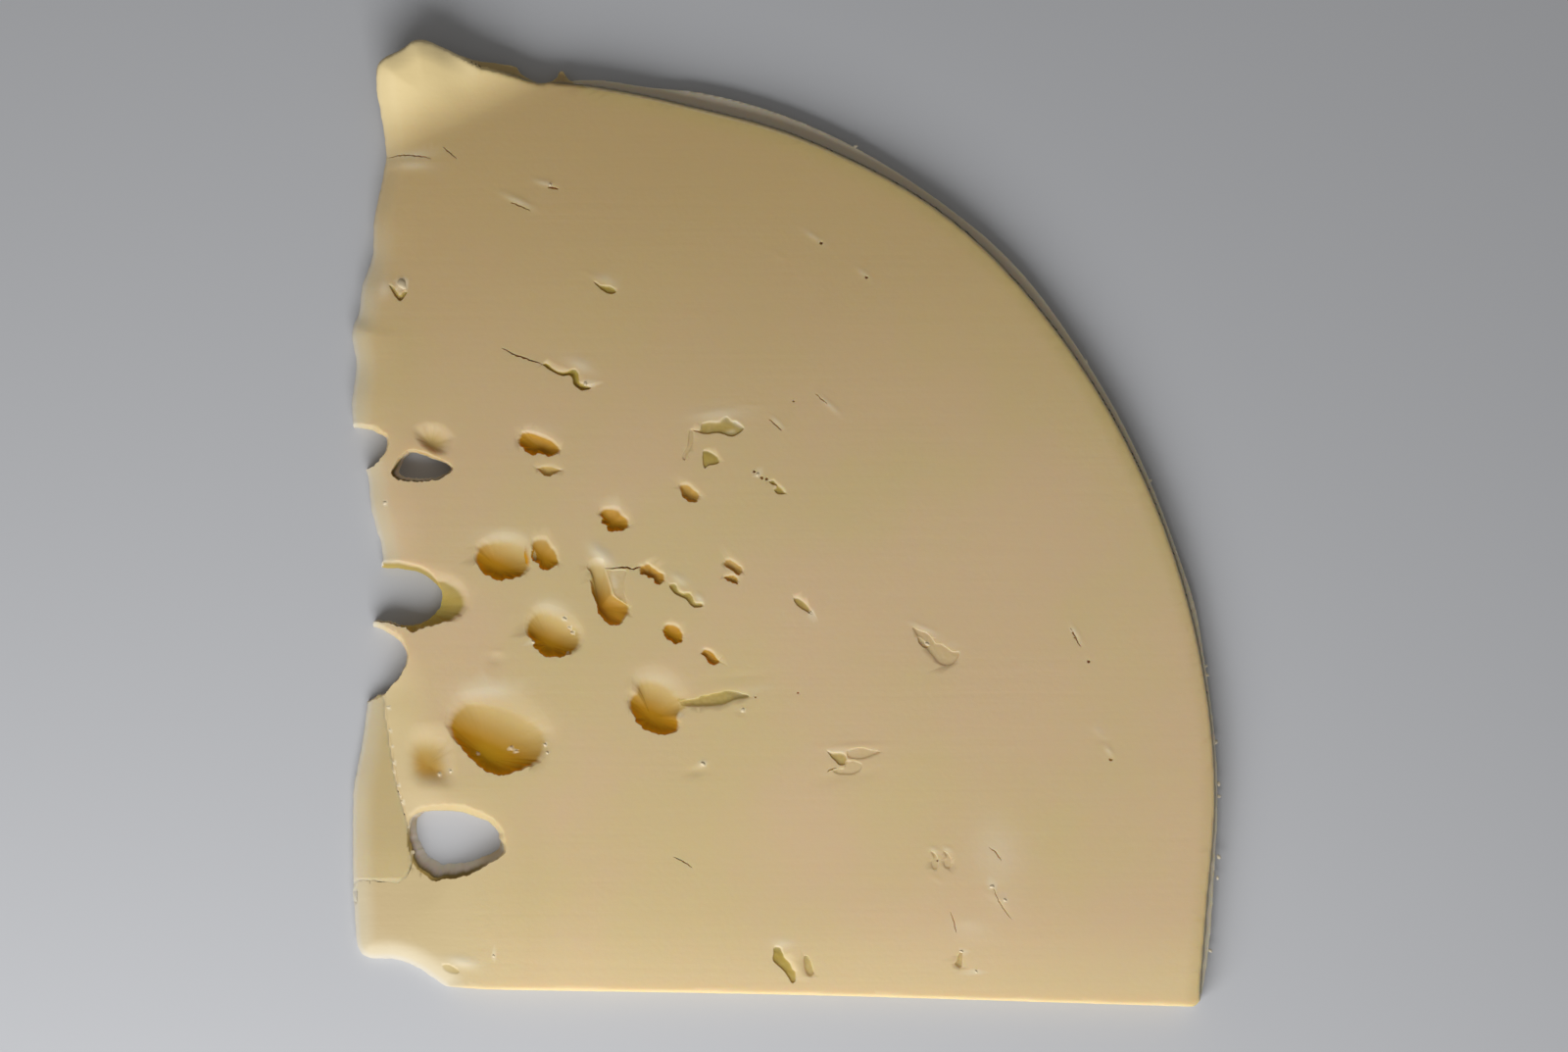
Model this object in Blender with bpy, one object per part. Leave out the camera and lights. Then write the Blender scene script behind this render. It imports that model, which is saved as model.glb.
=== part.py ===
"""Provolone slice: two thin slices of one wheel, lying one on the other in register.

Each slice is close to a quarter of a large, slightly oval wheel. The rind runs along the
arc, the lower side is a straight knife cut, and the left side and the top corner are torn.
Bubbles in the cheese lean the way the curd was stretched, so a pit in the top slice
carries on into the lower one. The torn corner curls up off the table.

Lengths are millimetres and angles are degrees; MM turns them into Blender's metres.
+X runs to the rind, +Y along the torn side to the curled corner, and +Z is up.
The origin is under the middle of the slices, on the table.
"""

import math

import bmesh
import bpy
from mathutils import Vector, noise

MM = 0.001

# Driving dimensions
SLICE_THICKNESS = 2.2
SLICE_GAP = 0.3
LOWER_TOP = SLICE_THICKNESS
FACE = 2 * SLICE_THICKNESS + SLICE_GAP

# The rind: a quarter of an ellipse, measured round its own centre
WHEEL_CENTRE = (-29.4, -48.7)
WHEEL_RADII = (100.5, 121.0)
RIND_FROM = -14.0
RIND_TO = 93.0
RIND_STEPS = 58

# Where the rind stands out (+) or in (-): angle, spread in degrees, height
LOWER_SWELLS = (
    (92, 2.5, 0.65), (85.5, 2, -0.35), (49, 5, 0.7), (36, 9, 0.12), (17, 2.5, 0.45), (-4, 4, -0.5),
)
TOP_SET_BACK = -0.7
TOP_SWELLS = (
    (94, 2.5, 0.7), (81, 6, -1.9), (68, 7, -1.6), (42, 12, -0.5), (-6, 4.5, -0.95), (-15, 1.5, 0.6),
)

# The torn edges, from the top end of the rind round to the knife cut
LOWER_TOP_EDGE = (
    (-35.4, 72.7), (-36.6, 74.5), (-37.8, 72.9), (-40.3, 72.4), (-42.9, 73.6), (-44.7, 75.1),
    (-51.4, 76.1), (-57.8, 78.7), (-60.2, 78.9), (-62.6, 77.4), (-66.1, 75.3),
)
TOP_TOP_EDGE = (
    (-38.2, 72.2), (-41.0, 72.2), (-45.8, 73.6), (-50.0, 74.7), (-54.2, 76.9), (-57.8, 78.4),
    (-60.2, 78.6), (-62.5, 77.1), (-65.8, 75.1),
)
LEFT_EDGE_ABOVE = (
    (-66.6, 71.5), (-65.6, 64.2), (-65.4, 59.3), (-67.2, 50.5), (-67.6, 44.0), (-69.2, 39.0),
    (-69.8, 34.5), (-70.9, 31.6), (-70.2, 26.0), (-70.9, 20.0), (-70.4, 14.5), (-68.4, 8.0),
    (-67.7, 2.5), (-65.9, -4.8), (-66.9, -10.0), (-67.5, -16.4),
)
LOWER_LEFT_EDGE_BELOW = (
    (-68.2, -23.0), (-68.6, -30.0), (-69.6, -37.0), (-70.8, -44.0), (-70.9, -56.0),
)
TOP_LEFT_EDGE_BELOW = (
    (-68.0, -22.0), (-65.6, -27.3), (-65.2, -31.1), (-64.4, -36.0), (-63.6, -41.0), (-62.4, -46.0),
    (-61.4, -50.0), (-61.0, -55.5), (-62.8, -58.4), (-67.2, -58.6), (-70.6, -59.2),
)
CORNER_EDGE = (
    (-70.5, -63.5), (-70.0, -69.0), (-68.2, -70.9), (-64.2, -71.1), (-60.4, -72.4), (-55.6, -75.6),
)
KNIFE_CUT = ((-49.0, -75.9), (3.0, -76.8), (66.8, -78.7))
TORN_EDGE_STEPS = 2

# The rim of the torn side thins by this much, over the same width, left of the given X
TORN_RIM_FALL = 1.1
TORN_SIDE_X = -57.0

# The curled corner: it bends about a line through two points and is lifted at its tip
BEND_LINE = ((-65.8, 59.3), (-38.6, 72.0))
CURL_REACH = 15.2
CURL_LIFT = 4.2
CURL_POWER = 1.6
CURL_STRIPS = 5

# Bubbles: where their mouths open in the top face, the mouth's size and turn, how far the
# bubble's middle lies under that face, its half height, and its cutter's segments
BUBBLES = {
    "open_left_upper": ((-69.6, 12.6), (9.6, 7.2), -25, 2.4, 8.0, 20),
    "open_left_middle": ((-62.9, -12.1), (13.4, 9.2), 0, 2.4, 8.0, 28),
    "open_left_middle_bowl": ((-59.5, -12.4), (14.6, 8.6), 8, 0.4, 3.4, 24),
    "open_left_lower": ((-67.6, -22.6), (10.8, 11.8), -35, 2.4, 8.0, 24),
    "through_lens": ((-59.4, 9.4), (9.8, 4.5), 4, 2.4, 8.0, 24),
    "through_lens_bowl": ((-57.2, 14.2), (6.8, 5.6), -20, 0.2, 1.6, 16),
    "through_wide": ((-56.5, -52.2), (12.6, 11.0), 0, 2.4, 8.0, 28),
    "through_wide_end": ((-51.1, -51.7), (11.4, 8.2), -8, 2.4, 8.0, 20),
    "largest": ((-46.8, -33.9), (16.4, 14.0), -18, 1.2, 3.5, 28),
    "round_middle": ((-37.8, -17.5), (9.0, 7.9), 0, 1.0, 3.1, 22),
    "round_upper": ((-46.0, -5.5), (9.0, 6.6), 0, 1.0, 3.0, 22),
    "round_upper_side": ((-39.3, -4.8), (4.8, 5.0), 20, 0.6, 2.2, 14),
    "oval_high": ((-40.3, 13.3), (7.0, 3.9), -8, 1.0, 2.8, 18),
    "slit_high": ((-38.6, 9.0), (3.6, 1.6), 0, 0.1, 0.9, 12),
    "round_small": ((-27.9, 1.0), (5.1, 4.2), 0, 0.8, 2.4, 16),
    "tall_pit": ((-28.5, -9.8), (5.4, 12.0), 8, 0.3, 2.2, 18),
    "egg": ((-21.2, -28.9), (8.8, 10.4), 12, 1.0, 3.0, 22),
    "bead_a": ((-21.7, -8.0), (3.9, 3.2), -25, 0.5, 1.9, 12),
    "bead_b": ((-18.4, -17.7), (3.3, 3.2), 0, 0.5, 1.9, 12),
    "bead_c": ((-12.3, -21.5), (3.2, 2.8), -25, 0.5, 1.9, 12),
    "bead_d": ((-8.3, -6.8), (3.2, 2.5), 0, 0.5, 1.8, 12),
    "bead_e": ((-8.5, -9.1), (2.7, 1.8), 0, 0.4, 1.5, 12),
    "bead_f": ((-15.5, 5.2), (3.0, 3.1), 0, 0.5, 1.8, 12),
    "long_pit": ((-16.1, -11.6), (6.2, 2.9), -35, 0.2, 1.5, 14),
    "soft_bowl": ((-58.9, -37.8), (8.2, 9.8), -15, -0.4, 1.9, 18),
    "dimple_a": ((-47.2, -21.7), (2.4, 1.9), 0, 0.0, 0.7, 10),
    "dimple_b": ((-14.2, -39.8), (3.6, 2.3), 15, 0.0, 0.8, 10),
    "cut_edge_pit": ((-0.2, -71.7), (2.9, 6.0), 30, 0.2, 1.7, 14),
    "cut_edge_pit_side": ((3.8, -72.0), (1.7, 3.6), 20, 0.1, 1.4, 10),
    "corner_pit": ((-53.2, -72.0), (5.6, 3.0), -5, 0.0, 1.1, 14),
    "flake_pit": ((-11.2, 16.2), (7.2, 3.2), 10, 0.0, 0.7, 14),
    "flake_pit_side": ((-12.1, 10.8), (2.8, 3.2), 0, 0.0, 0.7, 10),
    "crumb_pit": ((-63.3, 38.8), (3.4, 3.8), 20, 0.1, 1.4, 12),
    "far_pit": ((5.9, 46.2), (1.5, 1.2), 0, 0.1, 1.1, 10),
    "far_pit_side": ((13.2, 40.6), (1.3, 1.0), 0, 0.1, 0.9, 10),
    "dry_scar": ((24.8, -19.8), (8.2, 2.6), -42, -0.1, 0.6, 14),
}
BUBBLE_LEAN = 0.55
BUBBLE_LUMPS = 0.07
LUMP_SIZE = 3.0
LEAST_NARROWING = 0.22

# Cracks: points along each one, its widest width, and its depth. Their ends are narrower.
CRACK_END_SHARE = 0.35
CRACKS = {
    "long_crack": (((-43.8, 27.6), (-39.9, 26.6), (-37.0, 24.9), (-34.4, 24.6), (-32.4, 22.4)), 0.9, 1.3),
    "egg_crack": (((-17.2, -28.4), (-12.9, -27.7), (-9.0, -27.6), (-5.6, -27.6)), 0.8, 1.2),
    "pit_crack": (((-28.9, -7.0), (-25.6, -7.1), (-23.4, -7.2)), 0.5, 1.1),
    "upper_crack": (((-31.2, 39.9), (-29.4, 38.8), (-27.6, 38.0)), 0.7, 0.8),
    "torn_crack": (((7.2, -36.4), (9.8, -38.4), (12.2, -37.4), (15.6, -36.8)), 1.5, 0.9),
    "scar_crack": (((27.2, -64.0), (28.2, -68.4), (28.6, -72.4)), 0.9, 0.7),
    "bend_crack": (((-65.0, 59.8), (-61.0, 60.4), (-57.4, 60.2), (-53.8, 59.6)), 0.6, 0.8),
}

CHEESE_COLOURS = {
    "top_slice": (0.70, 0.53, 0.26, 1.0),
    "lower_slice": (0.66, 0.47, 0.19, 1.0),
}
CHEESE_ROUGHNESS = 0.45
SHARP_ANGLE = 35

# Points closer than this, in metres, are one point
SAME_POINT = 0.00001
SAME_POINT_AFTER_CUT = 0.000002


def clear_scene():
    for old in list(bpy.data.objects):
        bpy.data.objects.remove(old, do_unlink=True)


def new_collection(name):
    made = bpy.data.collections.new(name)
    bpy.context.scene.collection.children.link(made)
    return made


def cheese_material(name, colour):
    made = bpy.data.materials.new(name)
    made.use_nodes = True
    shader = made.node_tree.nodes["Principled BSDF"]
    shader.inputs["Base Color"].default_value = colour
    shader.inputs["Roughness"].default_value = CHEESE_ROUGHNESS
    shader.inputs["Metallic"].default_value = 0.0
    made.diffuse_color = colour
    return made


def rind_points(swells, set_back):
    """Points up the rind, on the wheel's ellipse moved out or in by the swells."""
    points = []
    for step in range(RIND_STEPS + 1):
        angle = RIND_FROM + (RIND_TO - RIND_FROM) * step / RIND_STEPS
        turn = math.radians(angle)
        out = Vector((math.cos(turn) / WHEEL_RADII[0], math.sin(turn) / WHEEL_RADII[1])).normalized()
        offset = set_back
        for middle, spread, height in swells:
            offset += height * math.exp(-0.5 * ((angle - middle) / spread) ** 2)
        x = WHEEL_CENTRE[0] + WHEEL_RADII[0] * math.cos(turn) + out.x * offset
        y = WHEEL_CENTRE[1] + WHEEL_RADII[1] * math.sin(turn) + out.y * offset
        points.append((x, y))
    return points


def softened(points, steps):
    """A smooth run through the points, each span split into the given number of steps."""
    smooth = []
    last = len(points) - 1
    for i in range(last):
        before, start = Vector(points[max(i - 1, 0)]), Vector(points[i])
        end, after = Vector(points[i + 1]), Vector(points[min(i + 2, last)])
        for step in range(steps):
            t = step / steps
            smooth.append(0.5 * (
                2 * start
                + (end - before) * t
                + (2 * before - 5 * start + 4 * end - after) * t ** 2
                + (3 * start - before - 3 * end + after) * t ** 3
            ))
    smooth.append(Vector(points[last]))
    return [(point.x, point.y) for point in smooth]


def slab(name, outline, bottom, collection):
    """A flat slab of the outline, one slice thick, as a mesh with one face on top."""
    curve = bpy.data.curves.new(name + "_outline", "CURVE")
    curve.dimensions = "2D"
    curve.fill_mode = "BOTH"
    curve.extrude = SLICE_THICKNESS / 2 * MM
    spline = curve.splines.new("POLY")
    spline.points.add(len(outline) - 1)
    for point, (x, y) in zip(spline.points, outline):
        point.co = (x * MM, y * MM, 0, 1)
    spline.use_cyclic_u = True
    guide = bpy.data.objects.new(name + "_outline", curve)
    guide.location.z = (bottom + SLICE_THICKNESS / 2) * MM
    collection.objects.link(guide)
    bpy.context.view_layer.update()

    evaluated = guide.evaluated_get(bpy.context.evaluated_depsgraph_get())
    mesh = bpy.data.meshes.new_from_object(evaluated)
    mesh.transform(guide.matrix_world)
    bpy.data.objects.remove(guide, do_unlink=True)

    work = bmesh.new()
    work.from_mesh(mesh)
    bmesh.ops.remove_doubles(work, verts=work.verts, dist=SAME_POINT)
    bmesh.ops.recalc_face_normals(work, faces=work.faces)
    caps = [face for face in work.faces if abs(face.normal.z) > 0.99]
    inner = [edge for edge in work.edges if all(face in caps for face in edge.link_faces)]
    bmesh.ops.dissolve_edges(work, edges=inner, use_verts=False)
    work.to_mesh(mesh)
    work.free()

    made = bpy.data.objects.new(name, mesh)
    collection.objects.link(made)
    return made


def thin_torn_rim(piece):
    """Planes the top rim of the torn side down to a thin edge."""
    work = bmesh.new()
    work.from_mesh(piece.data)
    top = max(work.faces, key=lambda face: face.calc_center_median().z)
    torn = [edge for edge in top.edges if all(v.co.x < TORN_SIDE_X * MM for v in edge.verts)]
    bmesh.ops.bevel(
        work, geom=torn, affect="EDGES", offset=TORN_RIM_FALL * MM, segments=1, clamp_overlap=True
    )
    work.to_mesh(piece.data)
    work.free()


def past_bend(x, y):
    """How far a point lies beyond the bend line, towards the corner's tip."""
    start, end = Vector(BEND_LINE[0]), Vector(BEND_LINE[1])
    along = (end - start).normalized()
    away = Vector((-along.y, along.x))
    return (Vector((x, y)) - start).dot(away)


def score_for_curl(piece):
    """Cuts edges into the slab along lines parallel to the bend, so that it can curl."""
    start, end = Vector(BEND_LINE[0]), Vector(BEND_LINE[1])
    along = (end - start).normalized()
    away = Vector((-along.y, along.x, 0))
    work = bmesh.new()
    work.from_mesh(piece.data)
    for strip in range(CURL_STRIPS):
        on_line = Vector((start.x, start.y, 0)) + away * (CURL_REACH * strip / CURL_STRIPS)
        every = list(work.verts) + list(work.edges) + list(work.faces)
        bmesh.ops.bisect_plane(work, geom=every, plane_co=on_line * MM, plane_no=away)
    work.to_mesh(piece.data)
    work.free()


def bubble_cutter(name, mouth, size, turn, sink, half_height, segments, collection):
    """A lumpy leaning egg whose mouth at the top face has the given place, size and turn."""
    bpy.ops.mesh.primitive_uv_sphere_add(segments=segments, ring_count=max(8, segments * 2 // 3))
    cutter = bpy.context.object
    cutter.name = "bubble_" + name
    narrowing = max(LEAST_NARROWING, math.sqrt(1 - (sink / half_height) ** 2))
    swing = math.radians(turn)
    seed = Vector((mouth[0], mouth[1], half_height)) * 1.7
    for vertex in cutter.data.vertices:
        lump = 1 + BUBBLE_LUMPS * noise.noise(vertex.co * LUMP_SIZE + seed)
        across = vertex.co.x * size[0] / 2 / narrowing * lump
        along = vertex.co.y * size[1] / 2 / narrowing * lump
        z = vertex.co.z * half_height * lump - sink
        x = mouth[0] + across * math.cos(swing) - along * math.sin(swing)
        y = mouth[1] + across * math.sin(swing) + along * math.cos(swing) + BUBBLE_LEAN * z
        vertex.co = (x * MM, y * MM, (FACE + z) * MM)
    move_to(cutter, collection)
    return cutter


def crack_cutter(name, points, width, depth, collection):
    """A narrow cleft along the points, widest in the middle and closed at both ends."""
    curve = bpy.data.curves.new(name, "CURVE")
    curve.dimensions = "3D"
    curve.bevel_depth = width / 2 * MM
    curve.bevel_resolution = 0
    curve.use_fill_caps = True
    spline = curve.splines.new("POLY")
    spline.points.add(len(points) - 1)
    last = len(points) - 1
    for i, (point, (x, y)) in enumerate(zip(spline.points, points)):
        point.co = (x * MM, y * MM, 0, 1)
        point.radius = CRACK_END_SHARE + (1 - CRACK_END_SHARE) * math.sin(math.pi * i / last)
    guide = bpy.data.objects.new(name, curve)
    collection.objects.link(guide)
    bpy.context.view_layer.update()

    mesh = bpy.data.meshes.new_from_object(guide.evaluated_get(bpy.context.evaluated_depsgraph_get()))
    bpy.data.objects.remove(guide, do_unlink=True)
    for vertex in mesh.vertices:
        vertex.co.z = vertex.co.z * depth / (width / 2) + FACE * MM
    work = bmesh.new()
    work.from_mesh(mesh)
    bmesh.ops.remove_doubles(work, verts=work.verts, dist=SAME_POINT)
    bmesh.ops.recalc_face_normals(work, faces=work.faces)
    work.to_mesh(mesh)
    work.free()
    cutter = bpy.data.objects.new("crack_" + name, mesh)
    move_to(cutter, collection)
    return cutter


def move_to(cutter, collection):
    for old in list(cutter.users_collection):
        old.objects.unlink(cutter)
    collection.objects.link(cutter)
    cutter.hide_render = True
    cutter.display_type = "WIRE"


def cut(piece, cutters):
    """Takes every cutter out of the piece and keeps the result as its own mesh."""
    boolean = piece.modifiers.new("bubbles", "BOOLEAN")
    boolean.operation = "DIFFERENCE"
    boolean.operand_type = "COLLECTION"
    boolean.collection = cutters
    boolean.solver = "EXACT"
    bpy.context.view_layer.update()
    evaluated = piece.evaluated_get(bpy.context.evaluated_depsgraph_get())
    carved = bpy.data.meshes.new_from_object(evaluated)
    piece.modifiers.clear()
    piece.data = carved


def keep_largest_body(piece):
    """Removes scraps that the bubbles cut loose."""
    work = bmesh.new()
    work.from_mesh(piece.data)
    bmesh.ops.remove_doubles(work, verts=work.verts, dist=SAME_POINT_AFTER_CUT)
    left = set(work.verts)
    bodies = []
    while left:
        body = {left.pop()}
        edge_of_body = list(body)
        while edge_of_body:
            vertex = edge_of_body.pop()
            for edge in vertex.link_edges:
                other = edge.other_vert(vertex)
                if other not in body:
                    body.add(other)
                    edge_of_body.append(other)
        left -= body
        bodies.append(body)
    bodies.sort(key=len)
    scraps = [vertex for body in bodies[:-1] for vertex in body]
    bmesh.ops.delete(work, geom=scraps, context="VERTS")
    work.to_mesh(piece.data)
    work.free()


def curl_corner(piece):
    for vertex in piece.data.vertices:
        past = past_bend(vertex.co.x / MM, vertex.co.y / MM)
        if past > 0:
            vertex.co.z += CURL_LIFT * (past / CURL_REACH) ** CURL_POWER * MM


def settle_on_origin(pieces):
    """Moves the slices together so that the origin is under their middle, on the table."""
    corners = [vertex.co for piece in pieces for vertex in piece.data.vertices]
    low = Vector([min(corner[i] for corner in corners) for i in range(3)])
    high = Vector([max(corner[i] for corner in corners) for i in range(3)])
    middle = (low + high) / 2
    for piece in pieces:
        for vertex in piece.data.vertices:
            vertex.co -= Vector((middle.x, middle.y, low.z))


def shade(piece):
    piece.data.materials.clear()
    piece.data.materials.append(cheese_material(piece.name + "_cheese", CHEESE_COLOURS[piece.name]))
    piece.data.shade_smooth()
    piece.data.set_sharp_from_angle(angle=math.radians(SHARP_ANGLE))


def main():
    clear_scene()
    slices = new_collection("provolone_slice")
    cutters = new_collection("cutters")

    torn_lower = LOWER_TOP_EDGE + LEFT_EDGE_ABOVE + LOWER_LEFT_EDGE_BELOW + CORNER_EDGE
    torn_top = TOP_TOP_EDGE + LEFT_EDGE_ABOVE + TOP_LEFT_EDGE_BELOW + CORNER_EDGE
    lower_outline = rind_points(LOWER_SWELLS, 0) + softened(torn_lower, TORN_EDGE_STEPS)
    top_outline = rind_points(TOP_SWELLS, TOP_SET_BACK) + softened(torn_top, TORN_EDGE_STEPS)

    lower = slab("lower_slice", lower_outline + list(KNIFE_CUT), 0, slices)
    top = slab("top_slice", top_outline + list(KNIFE_CUT), LOWER_TOP + SLICE_GAP, slices)

    for name, (mouth, size, turn, sink, half_height, segments) in BUBBLES.items():
        bubble_cutter(name, mouth, size, turn, sink, half_height, segments, cutters)
    for name, (points, width, depth) in CRACKS.items():
        crack_cutter(name, points, width, depth, cutters)

    for piece in (lower, top):
        thin_torn_rim(piece)
        score_for_curl(piece)
        cut(piece, cutters)
        keep_largest_body(piece)
        curl_corner(piece)
        shade(piece)
    settle_on_origin((lower, top))


main()
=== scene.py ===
"""Two thin provolone slices lying in register on a pale table, dressed for their picture.

Shapes are laid out in millimetres and turned into metres when they are finished. Angles are
degrees. +X runs to the rind, +Y along the torn side to the curled corner, and +Z is up.
"""

import math

import bpy
import numpy as np
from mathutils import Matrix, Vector, noise


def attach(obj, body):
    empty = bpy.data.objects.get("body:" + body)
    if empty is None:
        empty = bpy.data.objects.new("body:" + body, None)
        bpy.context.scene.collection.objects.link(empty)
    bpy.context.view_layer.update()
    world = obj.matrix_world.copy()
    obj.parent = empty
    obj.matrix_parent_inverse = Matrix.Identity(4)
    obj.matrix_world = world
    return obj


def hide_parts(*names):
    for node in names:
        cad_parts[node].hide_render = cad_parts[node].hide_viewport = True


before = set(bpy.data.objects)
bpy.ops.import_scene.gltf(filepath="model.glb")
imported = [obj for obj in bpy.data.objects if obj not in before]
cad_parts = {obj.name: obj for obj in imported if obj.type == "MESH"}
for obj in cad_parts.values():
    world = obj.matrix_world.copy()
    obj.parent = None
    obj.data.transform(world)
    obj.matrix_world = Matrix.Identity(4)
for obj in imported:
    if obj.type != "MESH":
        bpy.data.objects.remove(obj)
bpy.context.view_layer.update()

MM = 0.001

# The slices, laid out about the middle of the table before they settle on the origin
FACE = 4.7
# the slices lie on each other here, and the lower one takes up the gap that the solids keep
LOWER_FACE = 2.44
PARTING = 2.5
PARTING_OVERLAP = 0.3
PARTING_SPREAD = (90, 100)
PARTING_HEIGHT = 12
LAYOUT_MIDDLE = (-0.041, 0.178)

# The rind: a quarter of an ellipse, measured round its own centre
WHEEL_CENTRE = (-29.4, -48.7)
WHEEL_RADII = (100.5, 121.0)
RIND_FROM = -14.0
RIND_TO = 93.0
RIND_STEPS = 260
LOWER_SWELLS = (
    (92, 2.5, 0.65), (85.5, 2, -0.35), (49, 5, 0.7), (36, 9, 0.12), (17, 2.5, 0.45), (-4, 4, -0.5),
)
TOP_SET_BACK = -0.7
TOP_SWELLS = (
    (94, 2.5, 0.7), (81, 6, -1.9), (68, 7, -1.6), (42, 12, -0.5), (-6, 4.5, -0.95), (-15, 1.5, 0.6),
)

# The torn edges, from the top end of the rind round to the knife cut
LOWER_TOP_EDGE = (
    (-35.4, 72.7), (-36.6, 74.5), (-37.8, 72.9), (-40.3, 72.4), (-42.9, 73.6), (-44.7, 75.1),
    (-51.4, 76.1), (-57.8, 78.7), (-60.2, 78.9), (-62.6, 77.4), (-66.1, 75.3),
)
TOP_TOP_EDGE = (
    (-38.2, 72.2), (-41.0, 72.2), (-45.8, 73.6), (-50.0, 74.7), (-54.2, 76.9), (-57.8, 78.4),
    (-60.2, 78.6), (-62.5, 77.1), (-65.8, 75.1),
)
LEFT_EDGE_ABOVE = (
    (-66.6, 71.5), (-65.6, 64.2), (-65.4, 59.3), (-67.2, 50.5), (-67.6, 44.0), (-69.2, 39.0),
    (-69.8, 34.5), (-70.9, 31.6), (-70.2, 26.0), (-70.9, 20.0), (-70.4, 14.5), (-68.4, 8.0),
    (-67.7, 2.5), (-65.9, -4.8), (-66.9, -10.0), (-67.5, -16.4),
)
LOWER_LEFT_EDGE_BELOW = (
    (-68.2, -23.0), (-68.6, -30.0), (-69.6, -37.0), (-70.8, -44.0), (-70.9, -56.0),
)
TOP_LEFT_EDGE_BELOW = (
    (-68.0, -22.0), (-65.6, -27.3), (-65.2, -31.1), (-64.4, -36.0), (-63.6, -41.0), (-62.4, -46.0),
    (-61.4, -50.0), (-61.0, -55.5), (-62.8, -58.4), (-67.2, -58.6), (-70.6, -59.2),
)
CORNER_EDGE = (
    (-70.5, -63.5), (-70.0, -69.0), (-68.2, -70.9), (-64.2, -71.1), (-60.4, -72.4), (-55.6, -75.6),
)
KNIFE_CUT = ((-49.0, -75.9), (3.0, -76.8), (66.8, -78.7))
TORN_EDGE_STEPS = 12
TEAR_ROUGHNESS = 0.12
RIND_ROUGHNESS = 0.035

# The torn side thins to a soft edge: how wide that is, and the share of thickness left there.
# Where the top slice has lost its sliver it is thinner still, and it fades out over the corner.
TOP_WEDGE = 8.0
LOWER_WEDGE = 3.5
TOP_EDGE_SHARE = 0.5
LEDGE_EDGE_SHARE = 0.3
LOWER_EDGE_SHARE = 0.62
CORNER_SHARE = 0.03
CORNER_FROM_Y = -42.0
CORNER_FULL_Y = -55.0
CORNER_FROM_X = -42.0
CORNER_FULL_X = -63.0
CORNER_FEATHER = 7
CORNER_FEATHER_Y = (-66, -61)
LEDGE_FROM_Y = -14
LEDGE_FULL_Y = -24
WEDGE_FROM_X = -50.0
WEDGE_FULL_X = -56.0
# the bare part of the lower slice swells up a little towards that corner
BARE_RISE = 0.14
BARE_RISE_FROM_Y = -48.0

# The curled corner: it bends about a line through two points and is lifted at its tip
BEND_LINE = ((-65.8, 59.3), (-38.6, 72.0))
CURL_REACH = 15.2
CURL_LIFT = 5.2
CURL_POWER = 1.6

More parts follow.
